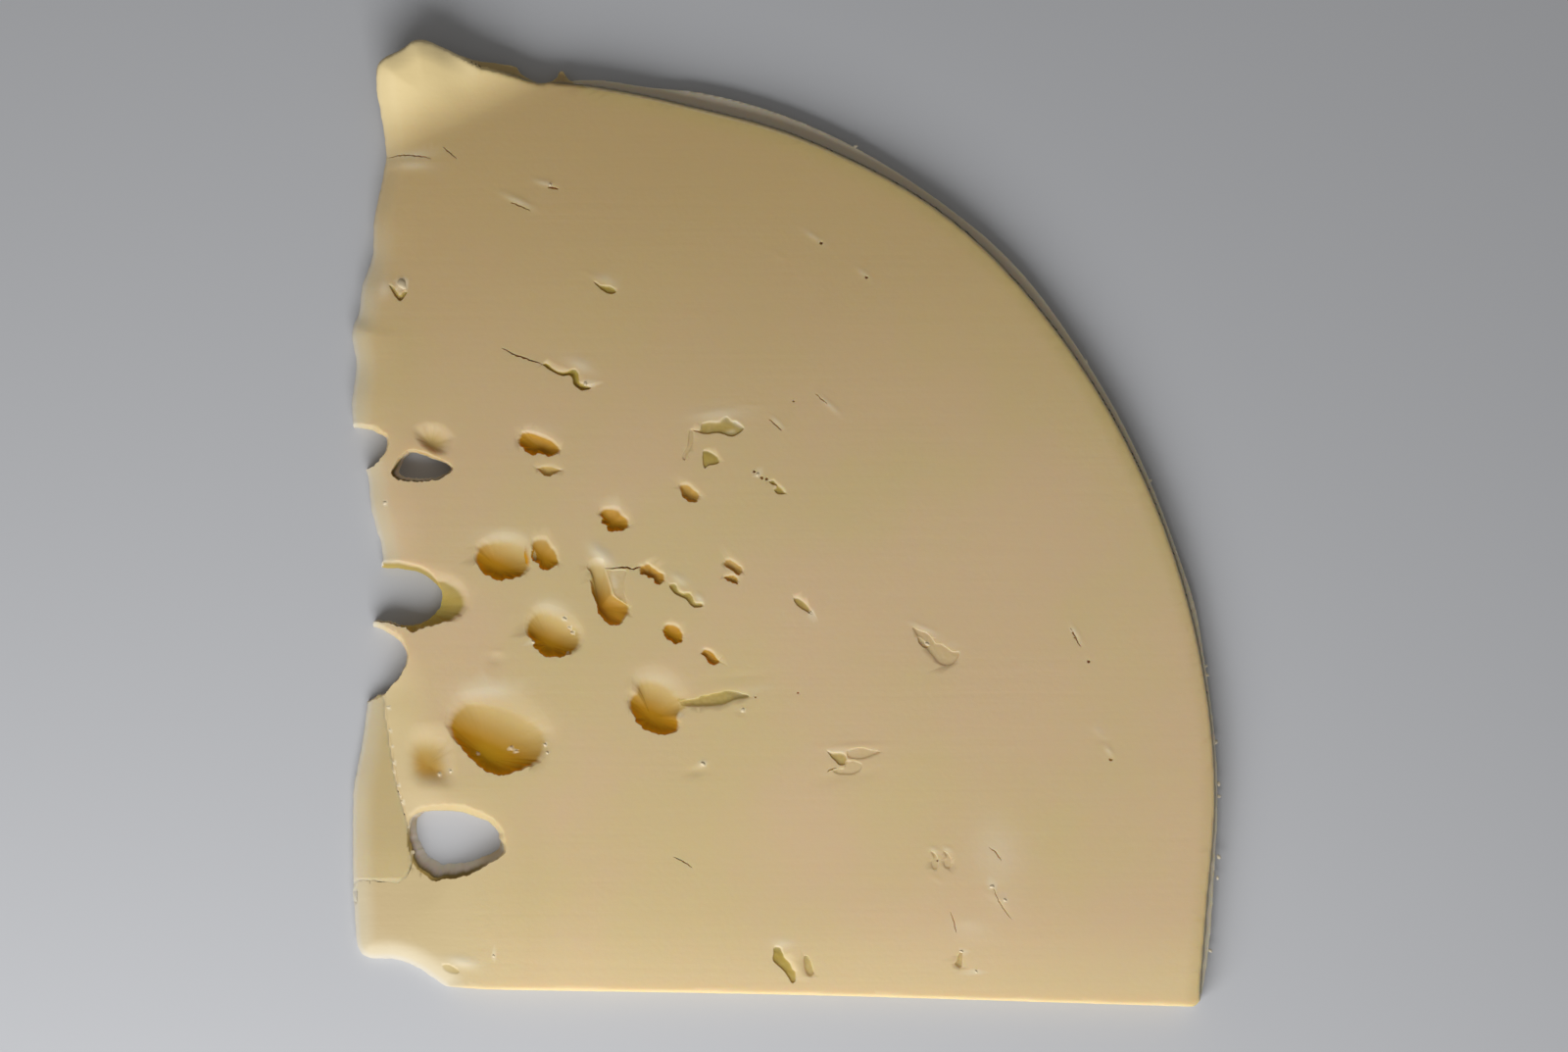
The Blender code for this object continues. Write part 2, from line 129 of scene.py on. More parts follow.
# Eyes: the loop of the mouth, the depth, the soft rim's width at the back, how far the bottom
# leans to the front as a share of the eye, and how much painted shade and glow its bottom takes.
# One as deep as HOLE goes through both slices, and its wall draws in at the foot by the same share.
HOLE = 5.6
EYES = {
    "largest": (
        ((-55.0, -32.2), (-54.7, -33.5), (-53.8, -35.3), (-52.3, -37.0), (-50.7, -38.8), (-49.0, -40.2),
         (-47.5, -40.7), (-45.9, -40.9), (-44.6, -40.4), (-42.7, -39.8), (-40.6, -38.8), (-39.3, -37.4),
         (-38.7, -35.9), (-38.6, -34.2), (-39.6, -32.6), (-41.0, -31.4), (-42.8, -30.2), (-44.8, -29.2),
         (-47.7, -28.6), (-50.6, -28.4), (-52.6, -28.7), (-54.2, -30.2)), 1.95, 2.4, 0.6, 1.0),
    "egg": (
        ((-25.3, -28.2), (-25.3, -29.5), (-24.5, -31.6), (-23.4, -33.0), (-21.3, -34.0), (-19.5, -34.3),
         (-17.9, -33.8), (-17.4, -32.7), (-17.6, -31.4), (-16.8, -30.5), (-16.6, -29.0), (-17.4, -27.6),
         (-18.7, -26.0), (-20.2, -25.0), (-21.9, -24.7), (-23.4, -25.0), (-24.3, -25.8), (-24.3, -27.1)),
        1.7, 2.2, 0.5, 1.0),
    "tall_pit": (
        ((-32.0, -6.2), (-32.2, -7.1), (-31.7, -8.1), (-31.8, -9.7), (-31.5, -11.0), (-31.2, -11.9),
         (-30.8, -12.9), (-30.6, -14.2), (-29.8, -15.4), (-29.0, -16.2), (-28.0, -16.6), (-26.9, -16.2),
         (-26.1, -15.1), (-25.4, -14.2), (-25.4, -13.4), (-26.1, -12.7), (-27.2, -12.1), (-28.2, -11.1),
         (-28.6, -9.8), (-28.9, -8.4), (-29.3, -7.1), (-29.6, -6.2), (-30.4, -5.8), (-31.2, -5.8)),
        1.5, 0.6, 0.7, 0.95),
    "oval_high": (
        ((-43.5, 13.8), (-42.9, 15.0), (-41.6, 15.1), (-39.8, 14.5), (-38.1, 13.8), (-36.8, 12.6),
         (-37.1, 11.8), (-38.6, 11.1), (-40.0, 11.8), (-41.1, 11.4), (-42.2, 11.9), (-43.2, 13.0)),
        1.3, 0.5, 0.2, 1.1),
    "slit_high": (
        ((-40.5, 9.2), (-39.7, 9.6), (-37.9, 9.6), (-36.5, 9.0), (-37.6, 8.4), (-38.9, 7.9), (-40.0, 8.6)),
        0.5, 0.5, 0.3, 0.75),
    "round_upper": (
        ((-50.6, -5.7), (-50.4, -4.2), (-49.6, -3.1), (-47.8, -2.5), (-45.8, -2.3), (-43.8, -2.6),
         (-42.4, -3.6), (-41.8, -4.9), (-41.8, -6.6), (-42.7, -8.1), (-44.5, -8.7), (-46.6, -9.0),
         (-48.3, -8.4), (-49.8, -7.3)), 1.5, 1.3, 0.5, 1.0),
    "round_upper_side": (
        ((-41.1, -2.5), (-40.0, -2.0), (-38.9, -2.3), (-38.2, -3.4), (-37.3, -4.6), (-37.0, -6.0),
         (-37.8, -7.0), (-39.5, -7.3), (-40.3, -6.3), (-41.4, -5.7), (-41.4, -3.9)), 1.0, 0.5, 0.3, 1.0),
    "round_small": (
        ((-30.4, 1.8), (-29.8, 2.6), (-28.5, 2.8), (-27.2, 2.5), (-26.4, 1.5), (-25.6, 0.9),
         (-25.6, -0.4), (-26.9, -0.9), (-28.3, -1.2), (-29.0, -0.7), (-29.0, -0.1), (-29.9, 0.2),
         (-29.8, 1.2)), 1.1, 0.5, 0.3, 1.0),
    "crack_end": (
        ((-23.8, -6.8), (-23.2, -6.5), (-22.6, -6.2), (-21.9, -6.6), (-21.3, -7.0), (-20.5, -7.6),
         (-19.7, -8.1), (-19.7, -9.0), (-20.2, -9.6), (-20.8, -9.8), (-21.4, -9.4), (-21.5, -8.9),
         (-22.1, -8.6), (-22.7, -8.2), (-23.4, -8.1), (-23.7, -7.6)), 0.9, 0.3, 0.3, 0.9),
    "bead_f": (
        ((-17.1, 6.6), (-16.0, 6.7), (-15.0, 6.0), (-13.9, 4.9), (-14.2, 4.2), (-14.7, 3.6),
         (-15.7, 3.8), (-16.5, 4.2), (-16.9, 5.4)), 0.8, 0.4, 0.3, 0.85),
    "bead_b": (
        ((-20.0, -17.0), (-19.5, -16.2), (-18.4, -16.1), (-17.3, -16.7), (-16.6, -18.0), (-16.8, -19.0),
         (-17.8, -19.4), (-18.9, -18.8), (-19.7, -18.0)), 0.8, 0.3, 0.3, 1.0),
    "bead_c": (
        ((-13.8, -21.0), (-13.1, -20.2), (-12.0, -20.6), (-11.2, -21.5), (-10.7, -22.3), (-11.5, -22.8),
         (-12.5, -22.4), (-13.1, -21.5)), 0.7, 0.3, 0.3, 0.95),
    "bead_d": (
        ((-9.9, -6.0), (-9.3, -5.5), (-8.2, -6.0), (-7.2, -6.8), (-6.9, -7.6), (-7.7, -8.1),
         (-8.8, -7.4), (-9.6, -6.8)), 0.6, 0.4, 0.3, 0.75),
    "bead_e": (
        ((-9.9, -8.4), (-9.0, -8.2), (-8.2, -8.2), (-7.5, -9.2), (-7.8, -9.7), (-8.8, -9.4),
         (-9.6, -8.9)), 0.6, 0.3, 0.3, 0.85),
    "round_middle": (
        ((-42.2, -16.7), (-41.9, -15.3), (-40.8, -14.1), (-39.2, -13.8), (-37.4, -14.5), (-35.7, -15.4),
         (-33.9, -16.7), (-33.3, -18.0), (-33.6, -19.6), (-34.6, -20.7), (-36.0, -21.4), (-37.8, -21.5),
         (-39.7, -21.2), (-41.0, -19.9), (-41.1, -19.0), (-41.9, -18.0)), 1.7, 1.3, 0.48, 1.0),
    "lens": (
        ((-64.3, 8.2), (-63.5, 9.8), (-62.4, 11.1), (-61.0, 11.8), (-59.2, 11.4), (-57.6, 10.8),
         (-55.8, 10.2), (-54.6, 9.2), (-55.5, 8.1), (-56.8, 7.4), (-58.4, 7.1), (-61.3, 7.0),
         (-63.0, 7.4)), HOLE, 0.7, 0.3, 1.0),
    "wide": (
        ((-61.3, -48.2), (-59.4, -47.0), (-56.2, -46.8), (-53.0, -47.0), (-50.6, -47.8), (-48.6, -48.6),
         (-47.0, -50.2), (-46.7, -51.3), (-46.1, -52.4), (-46.4, -53.8), (-48.2, -55.1), (-50.2, -56.4),
         (-52.3, -57.4), (-55.4, -58.0), (-57.1, -58.3), (-59.2, -57.2), (-60.8, -55.9), (-61.3, -53.8),
         (-61.8, -51.6)), HOLE, 1.2, 0.42, 1.0),
    "notch_upper": (
        ((-71.8, 15.3), (-68.2, 15.6), (-66.7, 15.0), (-65.4, 14.3), (-65.1, 13.2), (-65.8, 11.4),
         (-66.7, 10.2), (-68.0, 9.2), (-71.8, 8.9)), HOLE, 0.8, 0.05, 0.6),
    "notch_middle": (
        ((-71.8, -7.6), (-64.5, -7.1), (-62.1, -7.3), (-59.8, -7.8), (-57.6, -9.2), (-56.2, -11.1),
         (-56.5, -13.5), (-58.4, -15.6), (-61.0, -16.7), (-63.8, -16.4), (-66.1, -15.8), (-71.8, -15.1)),
        HOLE, 1.4, 0.05, 0.6),
    "notch_middle_slope": (
        ((-65.0, -7.0), (-61.0, -7.1), (-57.8, -8.4), (-54.9, -9.0), (-53.0, -10.3), (-52.0, -12.1),
         (-52.5, -14.0), (-54.2, -15.4), (-56.6, -16.2), (-59.4, -16.9), (-61.8, -16.7)),
        2.2, 1.4, 0.35, 0.9),
    "notch_lower": (
        ((-71.8, -16.7), (-67.4, -16.7), (-64.8, -17.8), (-62.9, -19.3), (-61.9, -21.0), (-62.1, -22.6),
         (-63.2, -24.9), (-64.5, -26.5), (-66.4, -28.1), (-71.8, -28.9)), HOLE, 0.8, 0.05, 0.6),
}
TO_FRONT = np.array((-0.42, -0.91))
LEANS_BACK = np.array((0.30, 0.95))
# how deep the soft rim goes, and at most this share of a shallow eye
SOFT_RIM_DEPTH = 0.5
SOFT_RIM_SHARE = 0.35
HOLE_RIM_DEPTH = 2.2
# the mouth is ragged, and by this share less so at the back
MOUTH_ROUGHNESS = 0.24
BACK_CALMER = 0.75
BACK_SMOOTHING = 20
EYE_AROUND = 144
EYE_DOWN = 34
# each eye starts above the face, and its rings lie closer together near the face
ROOM_ABOVE = 1.2
RINGS_ABOVE = 2
RING_SPACING = 1.25
# an eye that leans this far is as gentle as can be at its back
FULL_LEAN = 0.4

# Shallow bowls with no rim: the loop, the depth and how much painted shade the bottom takes. The
# wall starts outside the loop, furthest at the back, and the bottom drifts to the front as it goes down.
BOWLS = {
    "lens_bowl": (
        ((-61.0, 15.3), (-60.0, 16.2), (-58.4, 16.6), (-56.2, 16.1), (-54.6, 15.1), (-53.9, 14.0),
         (-54.1, 12.6), (-54.9, 11.6), (-56.5, 11.3), (-58.1, 11.9), (-59.8, 13.2)), 1.0, 0.6),
    "soft_bowl": (
        ((-62.7, -35.4), (-61.9, -33.7), (-60.2, -32.7), (-57.8, -32.4), (-55.7, -33.0), (-54.2, -34.6),
         (-53.8, -37.2), (-53.6, -39.9), (-53.4, -42.3), (-54.9, -43.3), (-57.8, -43.3), (-60.3, -42.8),
         (-62.1, -41.0), (-62.7, -38.3)), 1.1, 0.85),
}
BOWL_AROUND = 64
BOWL_DOWN = 22
BOWL_GROWTH = 0.6
BOWL_FRONT_GROWTH = 0.35
BOWL_DRIFT = 0.9

# Small hollows: the loop, the depth, where its crisp side lies and how much painted shade its bottom takes
BACK = (0.5, 0.86)
FRONT = TO_FRONT
SMALL_HOLLOWS = {
    "long_crack": (
        ((-39.7, 26.3), (-38.9, 26.5), (-37.6, 25.5), (-36.6, 25.1), (-35.4, 25.2), (-34.9, 25.5),
         (-34.1, 25.4), (-33.6, 24.6), (-33.4, 23.4), (-32.8, 23.1), (-31.7, 22.6), (-31.8, 22.2),
         (-33.0, 21.9), (-33.4, 22.0), (-34.5, 22.9), (-34.7, 23.8), (-35.2, 24.4), (-36.3, 24.3),
         (-37.4, 24.7), (-38.6, 25.4), (-39.4, 26.0)), 1.0, FRONT, 0.98),
    "leaf": (
        ((-31.4, 39.9), (-30.7, 39.6), (-30.1, 39.2), (-29.4, 39.1), (-28.6, 39.1), (-27.8, 38.6),
         (-27.5, 38.0), (-28.2, 37.7), (-29.0, 37.8), (-29.6, 38.1), (-30.4, 38.7), (-31.0, 39.3)),
        0.35, FRONT, 0.95),
    "long_pit": (
        ((-18.9, -9.8), (-18.2, -9.4), (-17.6, -9.8), (-17.3, -10.6), (-16.6, -11.0), (-15.7, -11.0),
         (-15.0, -11.6), (-14.7, -12.4), (-14.1, -12.6), (-13.4, -12.8), (-13.4, -13.3), (-14.1, -13.5),
         (-14.9, -13.5), (-15.5, -13.0), (-16.2, -12.1), (-17.0, -11.8), (-17.8, -11.4), (-18.6, -10.6)),
        0.35, FRONT, 0.85),
    "egg_crack": (
        ((-18.1, -28.7), (-16.2, -28.5), (-14.2, -28.2), (-13.6, -27.8), (-12.6, -27.7), (-10.9, -27.3),
         (-9.4, -27.0), (-7.5, -27.3), (-5.8, -27.9), (-6.2, -28.3), (-8.2, -28.6), (-9.1, -29.0),
         (-10.1, -29.4), (-11.0, -29.5), (-13.0, -29.7), (-15.5, -29.7), (-17.8, -30.0)),
        0.4, BACK, 0.7),
    "flaky": (
        ((-15.4, 15.6), (-13.9, 15.6), (-13.6, 16.6), (-12.5, 16.9), (-10.7, 17.0), (-9.9, 17.7),
         (-9.3, 17.7), (-8.6, 17.0), (-8.0, 17.0), (-7.0, 16.2), (-6.7, 15.6), (-8.2, 14.5),
         (-9.3, 14.5), (-10.7, 15.0), (-12.5, 14.8), (-13.9, 15.0)), 0.28, FRONT, 0.75),
    "flaky_branch": (
        ((-15.5, 15.6), (-14.9, 15.3), (-14.9, 13.4), (-15.7, 11.8), (-16.3, 10.6), (-16.8, 11.1),
         (-16.0, 12.9), (-15.8, 14.3)), 0.15, FRONT, 0.35),
    "flaky_second": (
        ((-13.4, 12.1), (-12.8, 12.2), (-11.8, 11.8), (-10.9, 11.1), (-10.7, 10.3), (-11.4, 9.8),
         (-12.5, 9.7), (-13.1, 9.2), (-13.5, 10.5)), 0.25, FRONT, 0.85),
    "ochre": (
        ((-2.7, 7.1), (-1.9, 7.4), (-1.1, 6.6), (0.0, 5.5), (0.1, 5.1), (-1.1, 5.0), (-1.8, 5.7),
         (-1.4, 6.3), (-2.2, 6.6)), 0.28, FRONT, 0.9),
    "crumb_pit": (
        ((-64.8, 39.3), (-63.8, 38.8), (-62.9, 37.7), (-62.2, 38.2), (-61.6, 38.0), (-62.6, 36.6),
         (-63.5, 37.0)), 0.7, FRONT, 0.7),
    "leaf_right": (
        ((1.4, -11.8), (2.2, -11.9), (3.4, -12.7), (4.3, -13.8), (4.5, -14.6), (3.5, -14.2), (2.2, -13.4),
         (1.6, -12.6)), 0.25, FRONT, 0.75),
    "scar": (
        ((20.8, -16.7), (22.2, -17.2), (23.4, -17.7), (24.0, -18.3), (24.6, -19.3), (25.4, -19.4),
         (26.4, -19.9), (27.4, -20.6), (28.5, -20.7), (28.0, -22.2), (27.0, -23.0), (25.4, -22.8),
         (24.2, -21.7), (22.9, -20.1), (21.8, -18.6)), 0.2, BACK, 0.2),
    "scar_pit": (
        ((21.6, -18.2), (22.4, -18.3), (23.7, -19.6), (22.9, -20.2), (21.9, -19.3)), 0.3, FRONT, 0.3),
    "torn": (
        ((6.8, -36.8), (7.8, -37.1), (9.4, -37.1), (10.1, -37.8), (9.9, -39.0), (9.0, -39.3), (8.2, -38.6),
         (7.5, -37.8)), 0.28, FRONT, 0.6),
    "torn_side": (
        ((10.1, -37.0), (10.7, -36.6), (12.5, -36.3), (13.9, -36.6), (15.5, -37.0), (14.2, -37.7),
         (12.6, -38.2), (11.0, -38.2), (10.2, -37.8)), 0.15, BACK, 0.2),
    "torn_shade": (
        ((9.8, -38.5), (11.4, -38.5), (12.6, -39.0), (12.3, -40.1), (11.0, -40.7), (9.1, -40.7),
         (7.8, -40.2), (8.5, -39.8), (9.6, -39.6)), 0.15, BACK, 0.15),
    "right_a": (
        ((23.8, -53.3), (24.5, -53.5), (25.0, -54.3), (25.1, -55.4), (24.8, -56.2), (24.1, -56.1),
         (23.8, -55.1), (24.3, -54.3)), 0.15, BACK, 0.2),
    "right_b": (
        ((25.9, -53.3), (26.6, -53.5), (27.1, -54.3), (27.2, -55.3), (26.9, -56.1), (26.1, -55.9),
         (25.8, -55.0), (26.3, -54.3)), 0.15, BACK, 0.22),
    "right_c": (
        ((28.6, -69.7), (29.0, -70.0), (29.0, -71.9), (28.5, -72.4), (27.7, -71.8), (28.0, -71.0),
         (28.3, -70.2)), 0.35, BACK, 0.45),
    "cut_side": (
        ((-1.8, -68.9), (-0.8, -68.9), (-0.3, -69.8), (0.0, -70.5), (0.8, -71.3), (1.3, -72.4),
         (1.8, -73.0), (1.8, -74.3), (1.1, -74.8), (0.5, -73.8), (-0.3, -72.7), (-1.3, -71.8),
         (-2.0, -71.0), (-1.9, -69.8)), 0.3, FRONT, 0.9),
    "cut_side_small": (
        ((3.0, -70.5), (3.7, -70.3), (4.2, -71.1), (4.6, -72.4), (4.8, -73.2), (4.0, -73.8),
         (3.4, -73.2), (3.0, -71.9)), 0.3, BACK, 0.55),
    "corner": (
        ((-56.2, -72.1), (-55.4, -71.8), (-54.4, -72.1), (-53.3, -72.9), (-53.6, -73.4), (-54.7, -73.4),
         (-55.8, -72.9)), 0.3, BACK, 0.4),
    "flap": (
        ((-29.3, -7.4), (-27.8, -7.3), (-25.9, -7.4), (-26.1, -9.0), (-26.1, -11.1), (-25.8, -12.9),
         (-27.0, -12.2), (-28.0, -11.3), (-28.6, -9.5)), 0.2, BACK, 0.1),
}
GENTLE_SLOPE = 1.0
CRISP_SLOPE = 3.5
# how fast the slope turns from gentle to crisp round the loop
SLOPE_TURN = 0.9
HOLLOW_AROUND = 72
SMALL_ROUGHNESS = 0.07
FLOOR_ROUGHNESS = 0.15
# every small cut starts this far above the face, and its body reaches this far above that
CUT_ABOVE = 0.4
CUT_BODY = 1
PATCH_STEP = 0.12
PATCH_STEPS_AT_LEAST = 6
PATCH_MARGIN = 0.35

# Hairline cracks: the run of points, the width and the depth. They waver in width and course.
SLITS = {
    "long_crack": (
        ((-46.2, 28.9), (-45.1, 28.3), (-44.2, 27.8), (-42.9, 27.4), (-41.6, 26.9), (-40.6, 26.6),
         (-39.6, 26.3)), 0.3, 0.8),
    "pit_crack": (
        ((-29.6, -7.1), (-28.2, -7.1), (-26.9, -6.9), (-26.2, -7.0), (-25.8, -6.9), (-25.1, -7.2),
         (-24.2, -7.0), (-23.4, -6.9)), 0.34, 0.9),
    "flake_large": (((-44.8, 52.6), (-43.4, 52.1), (-41.6, 51.3)), 0.25, 0.4),
    "flake_small": (((-38.7, 55.1), (-37.8, 55.0), (-37.0, 54.8)), 0.45, 0.5),
    "scratch": (((-2.6, 17.3), (-1.6, 16.4), (-0.5, 15.4)), 0.25, 0.4),
    "scratch_far": (((5.0, 21.4), (5.9, 20.6), (6.9, 19.8)), 0.22, 0.3),
    "bend": (((-65.2, 60.0), (-63.4, 60.3), (-61.8, 60.4), (-59.7, 60.2), (-57.8, 59.8)), 0.28, 0.5),
    "bend_end": (((-55.8, 61.7), (-54.9, 60.9), (-53.6, 59.8)), 0.25, 0.4),
    "torn": (((6.9, -40.2), (7.8, -39.8), (8.5, -39.6)), 0.25, 0.35),
    "thin_cut": (((-18.2, -54.2), (-16.8, -54.8), (-15.2, -55.9)), 0.22, 0.5),
    "dry_patch": (((33.3, -52.6), (34.2, -53.2), (34.7, -53.8), (35.3, -54.8)), 0.3, 0.35),
    "near_rind": (((46.6, -16.8), (47.2, -17.8), (47.8, -19.1), (48.3, -19.8)), 0.28, 0.45),
    "row": (((27.0, -63.1), (27.5, -64.4), (27.8, -65.7), (28.0, -66.5)), 0.25, 0.3),
    "row_right": (((34.1, -59.3), (34.7, -60.9), (35.7, -62.6), (37.0, -64.4)), 0.25, 0.22),
}
SLIT_STEPS = 8
SLIT_END_TURN = 0.15
SLIT_WIDTH_WAVER = 0.7
SLIT_COURSE_WAVER = 0.12

# Pin holes: the middle, the radius and the depth
PIN_HOLES = (
    (5.9, 46.0, 0.30, 0.7), (13.3, 40.4, 0.28, 0.6), (-5.0, 8.7, 0.26, 0.6), (-3.8, 7.7, 0.30, 0.6),
    (-3.0, 7.5, 0.28, 0.6), (1.4, 20.2, 0.2, 0.4), (49.6, -22.3, 0.28, 0.7), (53.2, -38.3, 0.32, 0.5),
    (24.9, -54.8, 0.18, 0.6), (2.1, -27.4, 0.2, 0.4), (-4.8, -28.1, 0.2, 0.4), (47.0, -17.6, 0.2, 0.6),
    (47.3, -18.4, 0.18, 0.5),
)
PIN_HOLE_ROUGHNESS = 0.35
PIN_HOLE_OVAL = 0.85

# Crumbs that lie on the slices: the place and the size
CRUMBS = (
    (-62.6, 39.3, 0.75), (4.3, -14.4, 0.3), (-36.0, -15.3, 0.32), (-35.2, -16.8, 0.3),
    (-34.7, -17.6, 0.3), (-41.1, -19.1, 0.26), (-35.5, -20.9, 0.22), (-44.8, -36.5, 0.32),
    (-44.0, -37.0, 0.24), (-50.2, -37.4, 0.24), (-39.2, -35.9, 0.26), (-38.8, -37.2, 0.22),
    (-4.5, 8.2, 0.26), (23.2, -19.4, 0.28), (28.8, -69.6, 0.24), (46.9, -17.2, 0.26),
    (-38.3, 55.5, 0.22), (-6.9, -30.2, 0.3), (-13.4, -39.0, 0.34), (-56.5, -40.7, 0.28),
    (-54.6, -40.2, 0.22), (-32.6, 23.0, 0.3), (-47.6, -70.4, 0.22), (31.2, -72.9, 0.22),
    (33.8, -59.0, 0.3), (35.9, -61.2, 0.26), (-65.4, 3.6, 0.3), (-64.9, -29.8, 0.26),
    (-64.6, -33.6, 0.24), (-63.9, -38.9, 0.3), (-63.2, -42.6, 0.24), (-62.6, -45.4, 0.3),
    (-64.2, -36.2, 0.2), (-61.6, -49.4, 0.24), (-60.9, -53.6, 0.26), (-63.0, -44.4, 0.2),
    (-64.0, -40.4, 0.18),
)
# and on the side of the lower slice: the place round the rind, how high and the size
SIDE_CRUMBS = (
    (66.0, 2.2, 0.3), (54.5, 1.9, 0.26), (38.5, 2.1, 0.36), (27.5, 1.8, 0.3), (17.0, 2.2, 0.34),
    (12.2, 1.7, 0.3), (11.5, 2.4, 0.26), (6.2, 2.0, 0.34), (3.0, 2.3, 0.3), (2.0, 1.6, 0.28),
    (-2.7, 2.1, 0.34), (-4.3, 1.8, 0.28), (-10.0, 2.2, 0.3),
)
CRUMB_GROWTH = 1.25
CRUMB_ROUGHNESS = 0.45
CRUMB_FORM = (1, 0.7, 0.45)
CRUMB_PALE = 0.5

# Where the cheese is paler, partly its own pale dry curd and partly painted glow along the back rims
# of eyes and painted highlights on raised lips: middle, half length, half width, turn and how much
PALE_PATCHES = (
    (34.7, -53.2, 3.6, 5.0, 10, 0.34), (30.4, -66.0, 2.6, 1.8, 0, 0.26),
    (35.5, -61.0, 2.2, 3.0, 20, 0.18), (-10.7, 17.9, 4.0, 1.2, 5, 0.45),
    (-33.4, 26.2, 2.2, 1.0, -25, 0.5), (-29.9, -4.9, 2.4, 1.1, -42, 0.85),
    (-17.2, -8.8, 1.6, 0.9, -30, 0.45), (-13.9, -11.9, 0.9, 0.5, -40, 0.7),
    (-29.0, 39.9, 1.8, 0.7, -25, 0.4), (-52.8, -71.4, 2.6, 0.9, -8, 0.7),
    (-0.3, -68.2, 1.6, 0.9, 0, 0.5), (-20.8, -25.6, 2.8, 1.3, -12, 0.45),
    (-48.6, -27.0, 5.0, 1.3, 4, 0.6), (-45.6, -1.8, 3.6, 1.1, -4, 0.45),
    (-38.2, -13.2, 3.0, 1.1, -16, 0.45), (-60.5, 60.4, 3.6, 0.8, 4, 0.4),
    (-27.4, 3.4, 2.2, 0.7, -10, 0.3), (-40.0, 15.6, 3.0, 0.6, -12, 0.3),
    (22.6, -16.9, 2.4, 0.35, -22, 0.5), (26.6, -19.5, 2.2, 0.3, -28, 0.5),
    (8.8, -36.9, 1.8, 0.3, 0, 0.5), (-6.0, -27.2, 4.0, 0.6, 12, 0.25),
    (-13.4, -38.9, 0.8, 0.35, 10, 0.5), (51.2, -33.4, 1.0, 0.5, -30, 0.3),
    (-43.6, 52.9, 2.4, 0.4, -24, 0.5), (-39.2, 55.8, 1.5, 0.35, -14, 0.5),
    (-65.4, 38.6, 0.9, 1.3, 0, 0.5), (4.8, 47.0, 1.8, 0.35, -34, 0.35),
    (12.8, 41.1, 1.2, 0.3, -38, 0.35), (-1.2, 16.8, 1.3, 0.3, -42, 0.5), (7.2, 19.7, 2.0, 0.4, -42, 0.4),
    (24.3, -53.0, 0.8, 0.3, -20, 0.5), (26.6, -52.9, 0.8, 0.3, -25, 0.5),
    (47.5, -17.6, 1.5, 0.3, -58, 0.5), (52.9, -36.8, 0.8, 0.3, -48, 0.5),
    (-7.9, 16.6, 1.0, 0.5, -40, 0.7), (-8.8, 15.2, 0.8, 0.4, 10, 0.6),
    (-32.3, 23.0, 0.8, 0.35, -20, 0.8), (-17.4, -30.9, 0.8, 0.5, -30, 0.9),
    (-60.6, 58.8, 3.2, 0.8, -3, 0.4), (-41.6, -34.6, 2.2, 1.6, -20, 0.35),
    (-27.9, -9.2, 0.5, 1.4, 10, 0.5),
)

VOXEL = 0.34
TOP_TRIANGLES = 190000
LOWER_TRIANGLES = 120000
SMOOTH_BELOW = 55


# ---------------------------------------------------------------- handling objects

def deselect():
    bpy.ops.object.select_all(action="DESELECT")


def pick(piece):
    deselect()
    piece.select_set(True)
    bpy.context.view_layer.objects.active = piece


def fresh(name, add, **sizes):
    """A new plain shape under the given name."""
    deselect()
    add(**sizes)
    made = bpy.context.object
    made.name = name
    return made


def draw_up(piece, lift):
    """Draws a flat shape up or down into a solid."""
    pick(piece)
    bpy.ops.object.mode_set(mode="EDIT")
    bpy.ops.mesh.select_all(action="SELECT")
    bpy.ops.mesh.extrude_region_move(TRANSFORM_OT_translate={"value": (0, 0, lift)})
    bpy.ops.mesh.select_all(action="SELECT")
    bpy.ops.mesh.normals_make_consistent(inside=False)
    bpy.ops.object.mode_set(mode="OBJECT")
    return piece


def apply_all(piece):
    pick(piece)
    for modifier in list(piece.modifiers):
        bpy.ops.object.modifier_apply(modifier=modifier.name)


def join(pieces, name):
    deselect()
    for piece in pieces:
        piece.select_set(True)
    bpy.context.view_layer.objects.active = pieces[0]
    bpy.ops.object.join()
    pieces[0].name = name


def points_of(piece):
    flat = np.empty(len(piece.data.vertices) * 3)
    piece.data.vertices.foreach_get("co", flat)
    return flat.reshape(-1, 3)


def put_points(piece, points):
    piece.data.vertices.foreach_set("co", points.astype(np.float32).ravel())
    piece.data.update()


# ---------------------------------------------------------------- outlines

def rind_points(swells, set_back):
    """Points up the rind, on the wheel's ellipse moved out or in by the swells."""
    points = []
    for step in range(RIND_STEPS + 1):
        angle = RIND_FROM + (RIND_TO - RIND_FROM) * step / RIND_STEPS
        turn = math.radians(angle)
        out = Vector((math.cos(turn) / WHEEL_RADII[0], math.sin(turn) / WHEEL_RADII[1])).normalized()
        offset = set_back
        for middle, spread, height in swells:
            offset += height * math.exp(-0.5 * ((angle - middle) / spread) ** 2)
        x = WHEEL_CENTRE[0] + WHEEL_RADII[0] * math.cos(turn) + out.x * offset
        y = WHEEL_CENTRE[1] + WHEEL_RADII[1] * math.sin(turn) + out.y * offset
        points.append((x, y))
    return points


def softened(points, steps, closed=False):
    """A smooth run through the points, each span split into the given number of steps."""
    given = np.array(points, float)
    count = len(given)
    spans = count if closed else count - 1
    t = np.arange(spans * steps) / steps
    i = t.astype(int)
    t = (t - i)[:, None]
    pick_at = (lambda k: given[k % count]) if closed else (lambda k: given[np.clip(k, 0, count - 1)])
    a, b, c, d = pick_at(i - 1), pick_at(i), pick_at(i + 1), pick_at(i + 2)
    smooth = 0.5 * (
        2 * b + (c - a) * t + (2 * a - 5 * b + 4 * c - d) * t ** 2 + (3 * b - a - 3 * c + d) * t ** 3
    )
    return smooth if closed else np.vstack([smooth, given[-1:]])


